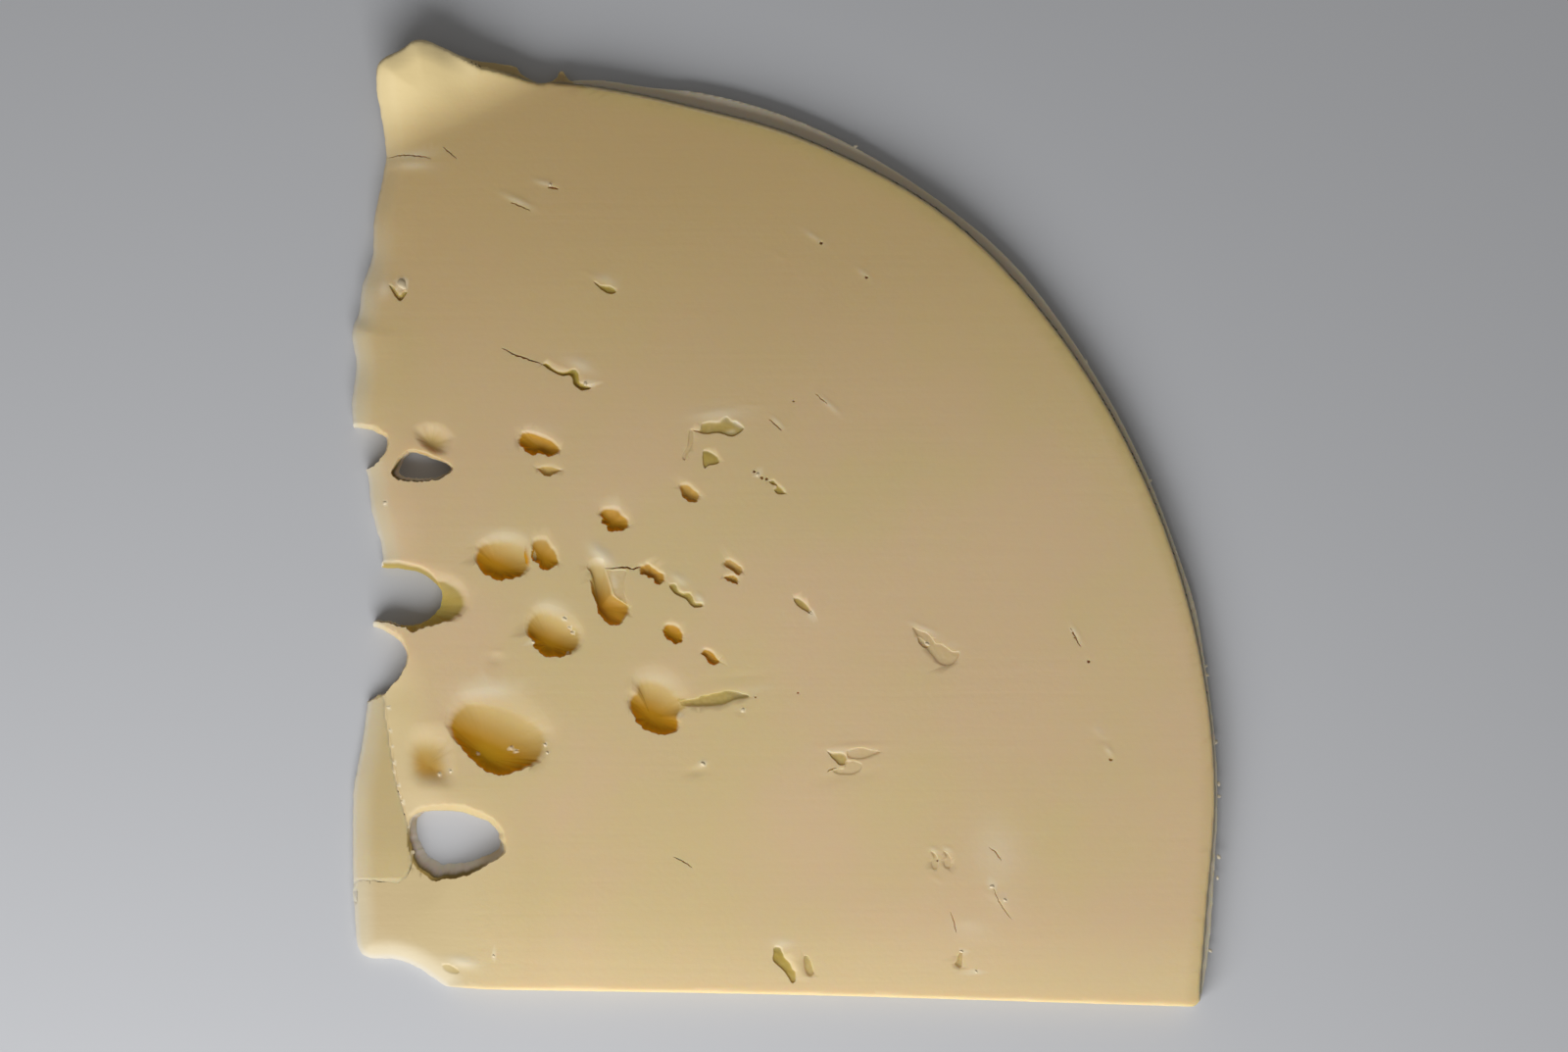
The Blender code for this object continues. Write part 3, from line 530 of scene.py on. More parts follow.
def outward(loop):
    """The outward direction at each point of a loop."""
    along = np.roll(loop, -1, axis=0) - np.roll(loop, 1, axis=0)
    along /= np.maximum(np.linalg.norm(along, axis=1), 1e-9)[:, None]
    side = np.stack([along[:, 1], -along[:, 0]], axis=1)
    return side if signed_area(loop) > 0 else -side


def signed_area(loop):
    """Positive where the loop runs anticlockwise."""
    following = np.roll(loop, -1, axis=0)
    return np.sum(loop[:, 0] * following[:, 1] - following[:, 0] * loop[:, 1]) / 2


def noise_over(xy, scale, seed):
    """Smooth noise at each place, finer at a larger scale."""
    return np.array([noise.noise(Vector((x * scale, y * scale, seed))) for x, y in xy])


def roughened(loop, amount, seed):
    """The loop with its points pushed in and out a little, as a torn edge is."""
    amounts = noise_over(loop, 1.1, seed) + 0.6 * noise_over(loop, 2.9, seed + 7)
    return loop + outward(loop) * (amounts * amount)[:, None]


def even_loop(points, count):
    """A smooth closed loop through the points, with evenly spaced points."""
    loop = softened(points, 16, closed=True)
    if signed_area(loop) < 0:
        loop = loop[::-1]
    closed = np.vstack([loop, loop[:1]])
    run = np.concatenate([[0], np.cumsum(np.linalg.norm(np.diff(closed, axis=0), axis=1))])
    at = np.linspace(0, run[-1], count, endpoint=False)
    return np.stack([np.interp(at, run, closed[:, k]) for k in (0, 1)], axis=1)


# ---------------------------------------------------------------- slabs and eyes

def slab(name, outline, bottom, top):
    """A flat slice of the outline: a filled ring raised to the slice's face."""
    ring = bpy.ops.mesh.primitive_circle_add
    made = fresh(name, ring, vertices=len(outline), radius=1, fill_type="NGON")
    put_points(made, np.column_stack([outline, np.full(len(outline), bottom)]))
    return draw_up(made, top - bottom)


def egg(name, around, down):
    """A round body, with the ring that each of its points lies on and the place on that ring."""
    made = fresh(name, bpy.ops.mesh.primitive_uv_sphere_add, segments=around, ring_count=down)
    points = points_of(made)
    ring = np.rint(np.arccos(np.clip(points[:, 2], -1, 1)) / math.pi * down).astype(int)
    place = np.rint(np.arctan2(points[:, 1], points[:, 0]) / (2 * math.pi) * around).astype(int) % around
    return made, ring, place


def averaged(values):
    """Each value round a loop with its neighbours mixed in."""
    shifts = range(-BACK_SMOOTHING, BACK_SMOOTHING + 1)
    return sum(np.roll(values, k, axis=0) for k in shifts) / len(shifts)


def eye(name, mouth, depth, soft_rim, lean):
    """What an eye takes out: a leaning bowl, steep and crisp in front, gentle at the back."""
    made, ring, place = egg("eye_" + name, EYE_AROUND, EYE_DOWN)
    smooth = even_loop(mouth, EYE_AROUND)
    middle = smooth.mean(axis=0)
    out = outward(averaged(smooth))
    away = (smooth - middle) / np.linalg.norm(smooth - middle, axis=1)[:, None]
    placed = (smooth - middle) @ LEANS_BACK
    back = averaged(ease(0.5 * (out @ LEANS_BACK + placed / placed.max()), -0.2, 0.85))
    in_front = averaged(ease(out @ TO_FRONT, -0.2, 0.7))
    ragged = roughened(smooth, MOUTH_ROUGHNESS, depth) - smooth
    loop = smooth + ragged * (1 - BACK_CALMER * back)[:, None]
    half = np.linalg.norm(smooth - middle, axis=1).mean()
    through = depth >= HOLE
    gentle = back * min(1, lean / FULL_LEAN)
    rim_depth = HOLE_RIM_DEPTH if through else min(SOFT_RIM_DEPTH, depth * SOFT_RIM_SHARE)
    points = np.empty((len(ring), 3))
    for k in range(EYE_DOWN + 1):
        here = ring == k
        at = place[here]
        run = max(0, (k - RINGS_ABOVE) / (EYE_DOWN - RINGS_ABOVE)) ** RING_SPACING
        if k < RINGS_ABOVE:
            level, share = np.full(EYE_AROUND, -ROOM_ABOVE), np.full(EYE_AROUND, float(k))
        elif through:
            level, share = np.full(EYE_AROUND, depth * run), np.full(EYE_AROUND, float(k < EYE_DOWN))
            share = share * (1 - lean * in_front * min(1, depth * run / FACE) ** 2)
        else:
            steep, steep_level = math.cos(math.pi / 2 * run), math.sin(math.pi / 2 * run)
            share = steep + (1 - run - steep) * gentle
            level = depth * (steep_level + (run * (4 - run**3) / 3 - steep_level) * gentle)
        sunk = np.maximum(level, 0)
        flare = soft_rim * back * np.maximum(0, 1 - sunk / rim_depth) ** 2
        section = middle + (loop + away * flare[:, None] - middle) * share[:, None]
        if not through:
            section = section + TO_FRONT * lean * half * (1 - math.cos(math.pi / 2 * run))
        points[here, 0:2] = section[at]
        points[here, 2] = FACE - level[at]
    put_points(made, points)
    return made


def bowl(name, mouth, depth):
    """What a shallow bowl takes out of the top slice."""
    made, ring, place = egg("bowl_" + name, BOWL_AROUND, BOWL_DOWN)
    loop = roughened(even_loop(mouth, BOWL_AROUND), MOUTH_ROUGHNESS, depth)
    middle = loop.mean(axis=0)
    out = outward(loop)
    back = BOWL_FRONT_GROWTH + (1 - BOWL_FRONT_GROWTH) * np.clip(out @ LEANS_BACK, 0, 1)
    grown = loop + out * (BOWL_GROWTH * back)[:, None]
    points = np.empty((len(ring), 3))
    for k in range(BOWL_DOWN + 1):
        here = ring == k
        at = place[here]
        if k < RINGS_ABOVE:
            level, share = -ROOM_ABOVE, float(k)
        else:
            turn = (k - RINGS_ABOVE) / (BOWL_DOWN - RINGS_ABOVE)
            level = depth * (0.5 - 0.5 * math.cos(math.pi * turn))
            share = 1 - turn
        section = middle + (grown - middle) * share
        points[here, 0:2] = section[at] + TO_FRONT * (BOWL_DRIFT * max(level, 0))
        points[here, 2] = FACE - level
    put_points(made, points)
    return made


def patch(name, loop):
    """A flat patch over a loop and a little round it."""
    low, high = loop.min(axis=0) - PATCH_MARGIN, loop.max(axis=0) + PATCH_MARGIN
    across, up = (max(PATCH_STEPS_AT_LEAST, round(size / PATCH_STEP)) for size in high - low)
    grid = bpy.ops.mesh.primitive_grid_add
    made = fresh(name, grid, x_subdivisions=across, y_subdivisions=up, size=2)
    return made, low + (points_of(made)[:, :2] + 1) / 2 * (high - low)


def thicken(made, xy, z, lift):
    """Sets the patch to its heights and draws it up or down into a solid."""
    put_points(made, np.column_stack([xy, z]))
    return draw_up(made, lift)


def distance_to_span(xy, start, end):
    """The distance from each point to a straight span."""
    span = end - start
    t = np.clip(((xy - start) @ span) / max(span @ span, 1e-9), 0, 1)
    return np.hypot(*(xy - start - t[:, None] * span).T)


def wall_depth(xy, loop, crisp):
    """How deep a wall that starts at the loop is at each point, below zero outside."""
    side = np.clip(0.5 + SLOPE_TURN * (outward(loop) @ np.array(crisp)), 0, 1)
    slopes = GENTLE_SLOPE * (CRISP_SLOPE / GENTLE_SLOPE) ** side
    depth = np.full(len(xy), np.inf)
    for a, b, slope in zip(loop, np.roll(loop, -1, axis=0), slopes):
        depth = np.minimum(depth, slope * distance_to_span(xy, a, b))
    return np.where(inside(xy[:, 0], xy[:, 1], loop), depth, -depth)


def hollow(name, mouth, depth, crisp):
    """What a small hollow takes out: crisp on one side and gently sloped on the other."""
    loop = roughened(even_loop(mouth, HOLLOW_AROUND), SMALL_ROUGHNESS, depth)
    made, xy = patch("hollow_" + name, loop)
    level = wall_depth(xy, loop, crisp)
    floor = depth * np.tanh(np.maximum(level, 0) / depth)
    rough = 1 + FLOOR_ROUGHNESS * noise_over(xy, 1.6, depth)
    level = np.where(level > 0, floor * rough, np.maximum(level, -CUT_ABOVE))
    return thicken(made, xy, FACE - level, depth * 1.3 + CUT_BODY)


def slit(name, run, width, depth):
    """What a hairline crack takes out: it wavers and closes towards both ends."""
    line = softened(run, SLIT_STEPS)
    along = np.gradient(line, axis=0)
    along /= np.linalg.norm(along, axis=1)[:, None]
    side = np.stack([-along[:, 1], along[:, 0]], axis=1)
    taper = np.sin(np.linspace(SLIT_END_TURN, math.pi - SLIT_END_TURN, len(line))) ** 0.6
    waver = noise_over(line, 2.1, 4.0)
    half = width / 2 * taper * (1 + SLIT_WIDTH_WAVER * waver)
    line = line + side * (SLIT_COURSE_WAVER * np.roll(waver, 3))[:, None]
    grid = bpy.ops.mesh.primitive_grid_add
    made = fresh("slit_" + name, grid, x_subdivisions=len(line) - 1, y_subdivisions=6, size=2)
    place = points_of(made)
    at = (place[:, 0] + 1) / 2 * (len(line) - 1)
    stations = np.arange(len(line))
    half_here, taper_here = np.interp(at, stations, half), np.interp(at, stations, taper)
    middle = np.stack([np.interp(at, stations, line[:, k]) for k in (0, 1)], axis=1)
    out = np.stack([np.interp(at, stations, side[:, k]) for k in (0, 1)], axis=1)
    v = place[:, 1]
    offset = np.sign(v) * np.interp(np.abs(v), (0, 2 / 3, 1), (0, 1, 1.5)) * half_here
    level = np.interp(np.abs(v), (0, 1 / 3, 2 / 3, 1), (1, 0.7, 0, -0.4)) * depth * taper_here
    return thicken(made, middle + out * offset[:, None], FACE - level, depth + CUT_BODY)


def pin_hole(x, y, radius, depth):
    """What a pin hole takes out: a small rough pit."""
    made = fresh("pin_hole", bpy.ops.mesh.primitive_ico_sphere_add, subdivisions=3, radius=1)
    points = points_of(made)
    rough = np.array([noise.noise(Vector(p) * 1.4 + Vector((x, y, 0))) for p in points])
    points *= (1 + PIN_HOLE_ROUGHNESS * rough)[:, None]
    put_points(made, points * (radius, radius * PIN_HOLE_OVAL, depth) + (x, y, FACE))
    return made


def crumb(middle, size):
    """A rough crumb, set a little into what it lies on."""
    made = fresh("crumb", bpy.ops.mesh.primitive_ico_sphere_add, subdivisions=2, radius=1)
    points = points_of(made)
    seed = Vector((middle[0], middle[1], 0.5))
    rough = np.array([
        noise.noise(Vector(p) * 1.1 + seed) + 0.4 * noise.noise(Vector(p) * 3 + seed) for p in points
    ])
    points *= (1 + CRUMB_ROUGHNESS * rough)[:, None] * size * CRUMB_GROWTH
    turn = middle[0] * 2.3 + middle[1]
    c, s = math.cos(turn), math.sin(turn)
    x, y, z = (points * CRUMB_FORM).T
    put_points(made, np.column_stack([x * c - y * s, x * s + y * c, z]) + np.array(middle))
    return made


def height_at(piece, x, y):
    """The height of the piece's surface over a place."""
    found, place, _, _ = piece.ray_cast(Vector((x, y, 20)), Vector((0, 0, -1)))
    return place.z if found else 0


def carve(piece, tools, operation="DIFFERENCE"):
    """Takes the tools out of the piece, or adds them to it, and puts them away."""
    group = bpy.data.collections.new("tools_" + piece.name)
    for tool in tools:
        group.objects.link(tool)
    cut = piece.modifiers.new("cut", "BOOLEAN")
    cut.operation = operation
    cut.operand_type = "COLLECTION"
    cut.collection = group
    cut.solver = "MANIFOLD"
    apply_all(piece)
    bpy.data.collections.remove(group)
    for tool in tools:
        bpy.data.objects.remove(tool, do_unlink=True)


def even_skin(piece, voxel):
    """Gives the piece one even skin, which rounds its rims a little."""
    skin = piece.modifiers.new("skin", "REMESH")
    skin.mode = "VOXEL"
    skin.voxel_size = voxel
    skin.adaptivity = 0
    apply_all(piece)


def thin_out(piece, triangles):
    """Merges the small faces of the flat stretches."""
    have = sum(len(face.vertices) - 2 for face in piece.data.polygons)
    if have > triangles:
        fewer = piece.modifiers.new("fewer", "DECIMATE")
        fewer.ratio = triangles / have
        apply_all(piece)


# ---------------------------------------------------------------- surface forms

FAR = 20.0


def distance_to(xy, line):
    """The distance from each point to a run of points, and no more than FAR."""
    best = np.full(len(xy), FAR)
    for a, b in zip(line[:-1], line[1:]):
        best = np.minimum(best, distance_to_span(xy, a, b))
    return best


def ease(value, start, end):
    """From 0 at the start to 1 at the end, which may be the smaller number."""
    t = np.clip((value - start) / (end - start), 0, 1)
    return t * t * (3 - 2 * t)


def edge_share(distance, x, width, at_edge):
    """How much of its thickness a slice keeps near its torn edge."""
    share = at_edge + (1 - at_edge) * np.sin(np.clip(distance / width, 0, 1) * math.pi / 2)
    return 1 - (1 - share) * (1 - ease(x, WEDGE_FULL_X, WEDGE_FROM_X))


def top_share(distance, x, y):
    """How much of its thickness the top slice keeps: less along the tear and over the lower corner."""
    at_edge = TOP_EDGE_SHARE + (LEDGE_EDGE_SHARE - TOP_EDGE_SHARE) * ease(y, LEDGE_FROM_Y, LEDGE_FULL_Y)
    share = edge_share(distance, x, TOP_WEDGE, at_edge)
    corner = 1 - (1 - CORNER_SHARE) * ease(x, CORNER_FROM_X, CORNER_FULL_X)
    feather = ease(distance, CORNER_FEATHER, 0) * ease(y, *CORNER_FEATHER_Y)
    at_corner = ease(y, CORNER_FROM_Y, CORNER_FULL_Y)
    return share * (1 - at_corner) + corner * (1 - (1 - CORNER_SHARE) * feather) * at_corner


def gentle_wave(x, y):
    return (
        0.10 * np.sin(x / 17 + 1.3) * np.cos(y / 23 + 0.4)
        + 0.05 * np.sin((x + 0.6 * y) / 9.5 + 2.0)
        + 0.03 * np.sin((0.5 * x - y) / 5.3)
        - 0.35 * ease(y, -60, -79)
    )


def curl(x, y):
    """How far the corner is lifted off the table."""
    start, end = np.array(BEND_LINE[0]), np.array(BEND_LINE[1])
    along = (end - start) / np.linalg.norm(end - start)
    past = (x - start[0]) * -along[1] + (y - start[1]) * along[0]
    return CURL_LIFT * (np.maximum(past, 0) / CURL_REACH) ** CURL_POWER


# Soft marks on the face: middle, half length, half width, turn, height (+ raised, - sunk)
MARKS = (
    (-29.9, -4.9, 2.2, 0.9, -42, 0.22), (-62.0, 59.0, 3.4, 0.9, 2, 0.12),
    (-12.0, 18.4, 3.2, 0.6, 8, 0.07), (-17.2, -8.7, 1.5, 0.6, -32, 0.10),
    (-13.9, -11.9, 0.9, 0.5, -40, 0.12), (-30.6, 40.4, 2.4, 0.5, -24, 0.06),
    (-33.4, 26.3, 2.2, 0.8, -25, 0.08), (-52.8, -71.4, 2.4, 0.9, -8, 0.16),
    (-0.3, -68.2, 1.4, 0.8, 0, 0.08), (-47.2, -22.0, 1.1, 0.9, 0, -0.12),
    (-47.0, -20.6, 1.0, 0.3, 0, 0.07), (-6.4, -24.6, 5.0, 0.7, 6, -0.04),
    (-14.4, -40.2, 1.6, 0.8, 12, -0.14), (-13.4, -38.9, 0.8, 0.35, 15, 0.07),
    (11.6, -36.1, 4.2, 0.45, 2, 0.08), (8.6, -41.2, 3.4, 1.0, 10, -0.07),
    (13.8, -40.4, 2.2, 0.8, 30, -0.05), (-1.0, 44.0, 1.2, 0.5, -30, 0.03),
    (-5.6, 19.6, 1.8, 0.3, -4, 0.03), (34.8, -61.0, 2.4, 0.5, -30, 0.05),
    (51.0, -33.6, 1.0, 0.4, -40, 0.06), (52.0, -35.2, 0.9, 0.4, 10, -0.06),
    (29.6, -64.6, 1.8, 0.8, 0, 0.04), (22.6, -16.7, 2.6, 0.35, -22, 0.05),
    (-44.0, -14.2, 1.6, 0.5, 60, 0.04), (-7.2, -30.6, 0.8, 0.4, -20, -0.08),
    (24.6, -57.6, 1.2, 0.4, -30, 0.05), (-43.6, 52.9, 2.6, 0.5, -24, 0.12),
    (-39.2, 55.8, 1.6, 0.4, -14, 0.10), (-65.4, 38.6, 1.0, 1.4, 0, 0.08),
    (4.8, 47.0, 1.9, 0.4, -34, 0.08), (12.8, 41.1, 1.3, 0.4, -38, 0.07),
    (-1.2, 16.8, 1.4, 0.3, -42, 0.08), (7.2, 19.7, 2.1, 0.4, -42, 0.09),
    (24.3, -53.0, 0.9, 0.35, -20, 0.08), (26.6, -52.9, 0.9, 0.35, -25, 0.08),
    (47.5, -17.6, 1.6, 0.35, -58, 0.08), (52.9, -36.8, 0.9, 0.35, -48, 0.10),
    (-7.9, 16.6, 1.0, 0.6, -40, 0.08),
)


def marks(x, y):
    height = np.zeros(len(x))
    for mx, my, length, width, turn, amount in MARKS:
        height += amount * blob(x, y, mx, my, length, width, turn)
    return height


def blob(x, y, mx, my, length, width, turn):
    """A soft patch, 1 in its middle and next to nothing at twice its size."""
    share = np.zeros(len(x))
    near = (np.abs(x - mx) < 2.6 * max(length, width)) & (np.abs(y - my) < 2.6 * max(length, width))
    u, v = x[near] - mx, y[near] - my
    c, s = math.cos(math.radians(turn)), math.sin(math.radians(turn))
    share[near] = np.exp(-((u * c + v * s) / length) ** 2 - ((v * c - u * s) / width) ** 2)
    return share


def shape_surface(piece):
    """Thins the torn side and adds the wave, the marks and the curl, alike where the slices meet.

    It gives back where each point lay before, and how thick the cheese is left there.
    """
    points = points_of(piece)
    x, y, z = points.T.copy()
    left = x < WEDGE_FROM_X
    top_distance, lower_distance = np.full(len(x), FAR), np.full(len(x), FAR)
    top_distance[left] = distance_to(points[left, :2], top_tear)
    lower_distance[left] = distance_to(points[left, :2], lower_tear)
    depth = FACE - z
    lower_share = edge_share(lower_distance, x, LOWER_WEDGE, LOWER_EDGE_SHARE)
    upper_share = top_share(top_distance, x, y)
    kept = np.where(z > PARTING, upper_share, lower_share)
    bare = (np.abs(z - LOWER_FACE) < 0.03) & left
    z = np.minimum(z, PARTING) * lower_share + np.maximum(z - PARTING, 0) * upper_share
    z += BARE_RISE * bare * ease(y, BARE_RISE_FROM_Y, CORNER_FULL_Y)
    z += marks(x, y) * ease(depth, 0.35, 0.0)
    z += gentle_wave(x, y) * np.clip((z - 0.2) / FACE, 0, 1)
    lift = curl(x, y)
    z += lift
    put_points(piece, np.column_stack([x, y, z]))
    body = np.clip(kept * 1.8 - 0.8, 0, 1) * (1 - ease(lift, 0.1, 1.6))
    return x, y, depth, lower_distance, body


def inside(x, y, loop):
    """Whether each point lies inside the loop."""
    within = np.zeros(len(x), bool)
    for (ax, ay), (bx, by) in zip(loop, np.roll(loop, -1, axis=0)):
        if ay != by:
            crosses = ((ay > y) != (by > y)) & (x < (bx - ax) * (y - ay) / (by - ay) + ax)
            within ^= crosses
    return within


def hollows(x, y, depth):
    """What the colours in the hollows follow at each point.

    How much painted shade and glow it takes, how near the front of its hollow, how low on a hole's foot and
    how olive.
    """
    hollow_shade_share, front, foot, olive = (np.zeros(len(x)) for _ in range(4))
    for loop, full_depth, amount, reach, split in HOLLOWS:
        wall = loop + outward(loop) * reach
        low, high = wall.min(axis=0), wall.max(axis=0)
        near = np.flatnonzero((x > low[0]) & (x < high[0]) & (y > low[1]) & (y < high[1]) & (depth > 0.02))
        near = near[inside(x[near], y[near], wall)]
        along = (loop - loop.mean(axis=0)) @ TO_FRONT
        length = along.max() - along.min()
        place = (np.column_stack([x[near], y[near]]) - loop.mean(axis=0)) @ TO_FRONT
        towards = np.clip((place - along.min()) / length, 0, 1)
        if split < 1:
            least = SMALL_EYE_SHADE * ease(length, LARGE_EYE, SMALL_EYE)
            towards = least + (1 - 1.5 * least) * towards
        if full_depth >= HOLE:
            in_front = ease(towards, 0.4, 0.7)
            share = ease(depth[near], 0.35, 1.0) * (0.85 + 0.15 * in_front) * amount
            low_on_foot = 0.7 + (ease(depth[near], 0.5, 4.2) - 0.7) * in_front
        else:
            share = ease(depth[near], min(0.1, full_depth / 3), full_depth + 0.1) * amount
            low_on_foot = 0
        better = share > hollow_shade_share[near]
        for mask, value in ((hollow_shade_share, share), (front, towards), (foot, low_on_foot), (olive, split)):
            mask[near] = np.where(better, value, mask[near])
    return hollow_shade_share, front, foot, olive


def paleness(x, y, depth):
    """How pale each point is, in the pale patches and on the crumbs, and which are on a crumb."""
    pale, crumbly = np.zeros(len(x)), np.zeros(len(x))
    for values in PALE_PATCHES:
        pale = np.maximum(pale, values[5] * blob(x, y, *values[:5]) * ease(depth, 0.7, 0.1))
    for cx, cy, level, size in CRUMB_PLACES:
        reach = size * 1.3
        near = (np.abs(x - cx) < reach) & (np.abs(y - cy) < reach) & (depth < FACE - level)
        pale[near], crumbly[near] = CRUMB_PALE, 1
    return pale, crumbly


def from_rind(x, y, swells, set_back):
    """The distance in from the rind, and a large one past the rind's top end."""
    u, v = (x - WHEEL_CENTRE[0]) / WHEEL_RADII[0], (y - WHEEL_CENTRE[1]) / WHEEL_RADII[1]
    turn = np.degrees(np.arctan2(v, u))
    swell = sum(height * np.exp(-0.5 * ((turn - m) / spread) ** 2) for m, spread, height in swells)
    return (1 - np.hypot(u, v)) * sum(WHEEL_RADII) / 2 + swell + set_back + FAR * ease(x, -32, -42)


def set_attribute(piece, name, values):
    layer = piece.data.attributes.new(name, "FLOAT", "POINT")
    layer.data.foreach_set("value", values.astype(np.float32))


# ---------------------------------------------------------------- shader helpers

class Nodes:
    """Adds nodes to a tree and links them in one line."""

    def __init__(self, tree):
        self.tree = tree

    def add(self, kind, **settings):
        node = self.tree.nodes.new(kind)
        for key, value in settings.items():
            setattr(node, key, value)
        return node

    def link(self, source, target):
        self.tree.links.new(source, target)

    def put(self, value, socket):
        """Links the value if it comes from a node, and sets it if it is a plain one."""
        if isinstance(value, bpy.types.NodeSocket):
            self.link(value, socket)
        else:
            socket.default_value = value

    def attribute(self, name):
        return self.add("ShaderNodeAttribute", attribute_name=name).outputs["Fac"]

    def remap(self, value, low, high, to_low=0.0, to_high=1.0):
        node = self.add("ShaderNodeMapRange", interpolation_type="SMOOTHSTEP")
        self.link(value, node.inputs["Value"])
        for key, number in (("From Min", low), ("From Max", high), ("To Min", to_low), ("To Max", to_high)):
            node.inputs[key].default_value = number
        return node.outputs["Result"]

    def math(self, operation, first, second):
        node = self.add("ShaderNodeMath", operation=operation)
        self.put(first, node.inputs[0])
        self.put(second, node.inputs[1])
        return node.outputs[0]

    def ramp(self, value, stops):
        node = self.add("ShaderNodeValToRGB")
        self.link(value, node.inputs["Fac"])
        elements = node.color_ramp.elements
        while len(elements) < len(stops):
            elements.new(0.5)
        for element, (position, colour) in zip(elements, stops):
            element.position = position
            element.color = (*colour, 1)
        return node.outputs["Color"]

    def mix(self, share, first, second):
        node = self.add("ShaderNodeMix", data_type="RGBA")
        for key, value in (("Factor", share), ("A", first), ("B", second)):
            self.put(value, [s for s in node.inputs if s.name == key and s.enabled][0])
        return [s for s in node.outputs if s.enabled][0]

    def noise(self, place, scale, detail):
        node = self.add("ShaderNodeTexNoise")
        for key, value in (("Vector", place), ("Scale", scale), ("Detail", detail)):
            self.put(value, node.inputs[key])
        return node.outputs[0]


def curd_grain_group():
    """Soft mottling, slicer drag lines and a fine grain, all from one place on the cheese."""
    tree = bpy.data.node_groups.new("curd_grain", "ShaderNodeTree")
    tree.interface.new_socket("Place", in_out="INPUT", socket_type="NodeSocketVector")
    for name in ("Mottle", "Drag", "Grain"):
        tree.interface.new_socket(name, in_out="OUTPUT", socket_type="NodeSocketFloat")
    n = Nodes(tree)
    place = n.add("NodeGroupInput").outputs["Place"]
    out = n.add("NodeGroupOutput")
    stretch = n.add("ShaderNodeMapping")
    n.link(place, stretch.inputs["Vector"])
    stretch.inputs["Scale"].default_value = (0.04, 1.0, 1.0)
    n.link(n.noise(place, 38, 3), out.inputs["Mottle"])
    n.link(n.noise(stretch.outputs[0], 700, 2), out.inputs["Drag"])
    n.link(n.noise(place, 1400, 2), out.inputs["Grain"])
    return tree


FACE_COLOUR = (0.655, 0.512, 0.264, 1)
FACE_COLOUR_PINK = (0.672, 0.500, 0.290, 1)
# painted shade: darker towards the far end of the slice, for the lamp's falloff
FAR_PAINTED_SHADE = (0.575, 0.415, 0.190, 1)
# the curled corner: a little yellower, and painted lighter for the light the lifted corner catches
CORNER_TINT_AND_PAINTED_LIGHT = (0.92, 0.73, 0.36, 1)
# painted light: lighter towards the knife cut, nearest the lamp
NEAR_PAINTED_LIGHT = (0.735, 0.575, 0.315, 1)
# painted shade: the lower left is darkened to even out the lamp's stronger light there
NEAR_LEFT_PAINTED_SHADE = (0.55, 0.435, 0.215, 1)
RIND_TINT = (0.55, 0.425, 0.17, 1)
RIND_LINE = (0.70, 0.58, 0.36, 1)
# the lower slice's strip along the rind: partly its dry rind, partly painted paler and greyer for the cool
# fill light it gets in the top slice's shadow
DRY_RIND_AND_PAINTED_FILL = (0.68, 0.60, 0.46, 1)
LEDGE_FACE = (0.56, 0.43, 0.205, 1)
# painted glow of light through the thinning torn edge, whitest at the very edge where the table would show
# through
TORN_EDGE_PAINTED_GLOW = (0.63, 0.55, 0.38, 1)
TORN_EDGE_PAINTED_SHOW_THROUGH = (0.62, 0.58, 0.50, 1)
# the floor of an eye from its back to its front, with light and shade painted in: darker and more saturated
# towards the middle as painted shade, and a painted brighter amber at the front, where it lies in its own
# shade, for light through the cheese
EYE_FLOOR = (
    (0.0, (0.59, 0.46, 0.225)), (0.15, (0.55, 0.395, 0.155)), (0.32, (0.47, 0.29, 0.07)),
    (0.46, (0.49, 0.24, 0.013)), (0.7, (0.76, 0.34, 0.009)), (1.0, (0.92, 0.46, 0.015)),
)
# the floor of a small split, likewise, with painted shade darkest at its back under the crisp edge
SPLIT_FLOOR = ((0.0, (0.24, 0.18, 0.035)), (0.3, (0.43, 0.31, 0.055)), (1.0, (0.50, 0.355, 0.085)))
# the foot of a through hole, painted as the shadow there: brown by the rim, fading to a warm grey like the
# shaded table
FOOT_PAINTED_SHADOW = (0.27, 0.185, 0.055, 1)
FOOT_GREY = (0.76, 0.68, 0.60, 1)
# pale dry curd and crumbs, and also the painted glow and highlights of the pale patches
PALE_CURD_AND_GLOW = (0.76, 0.68, 0.50, 1)


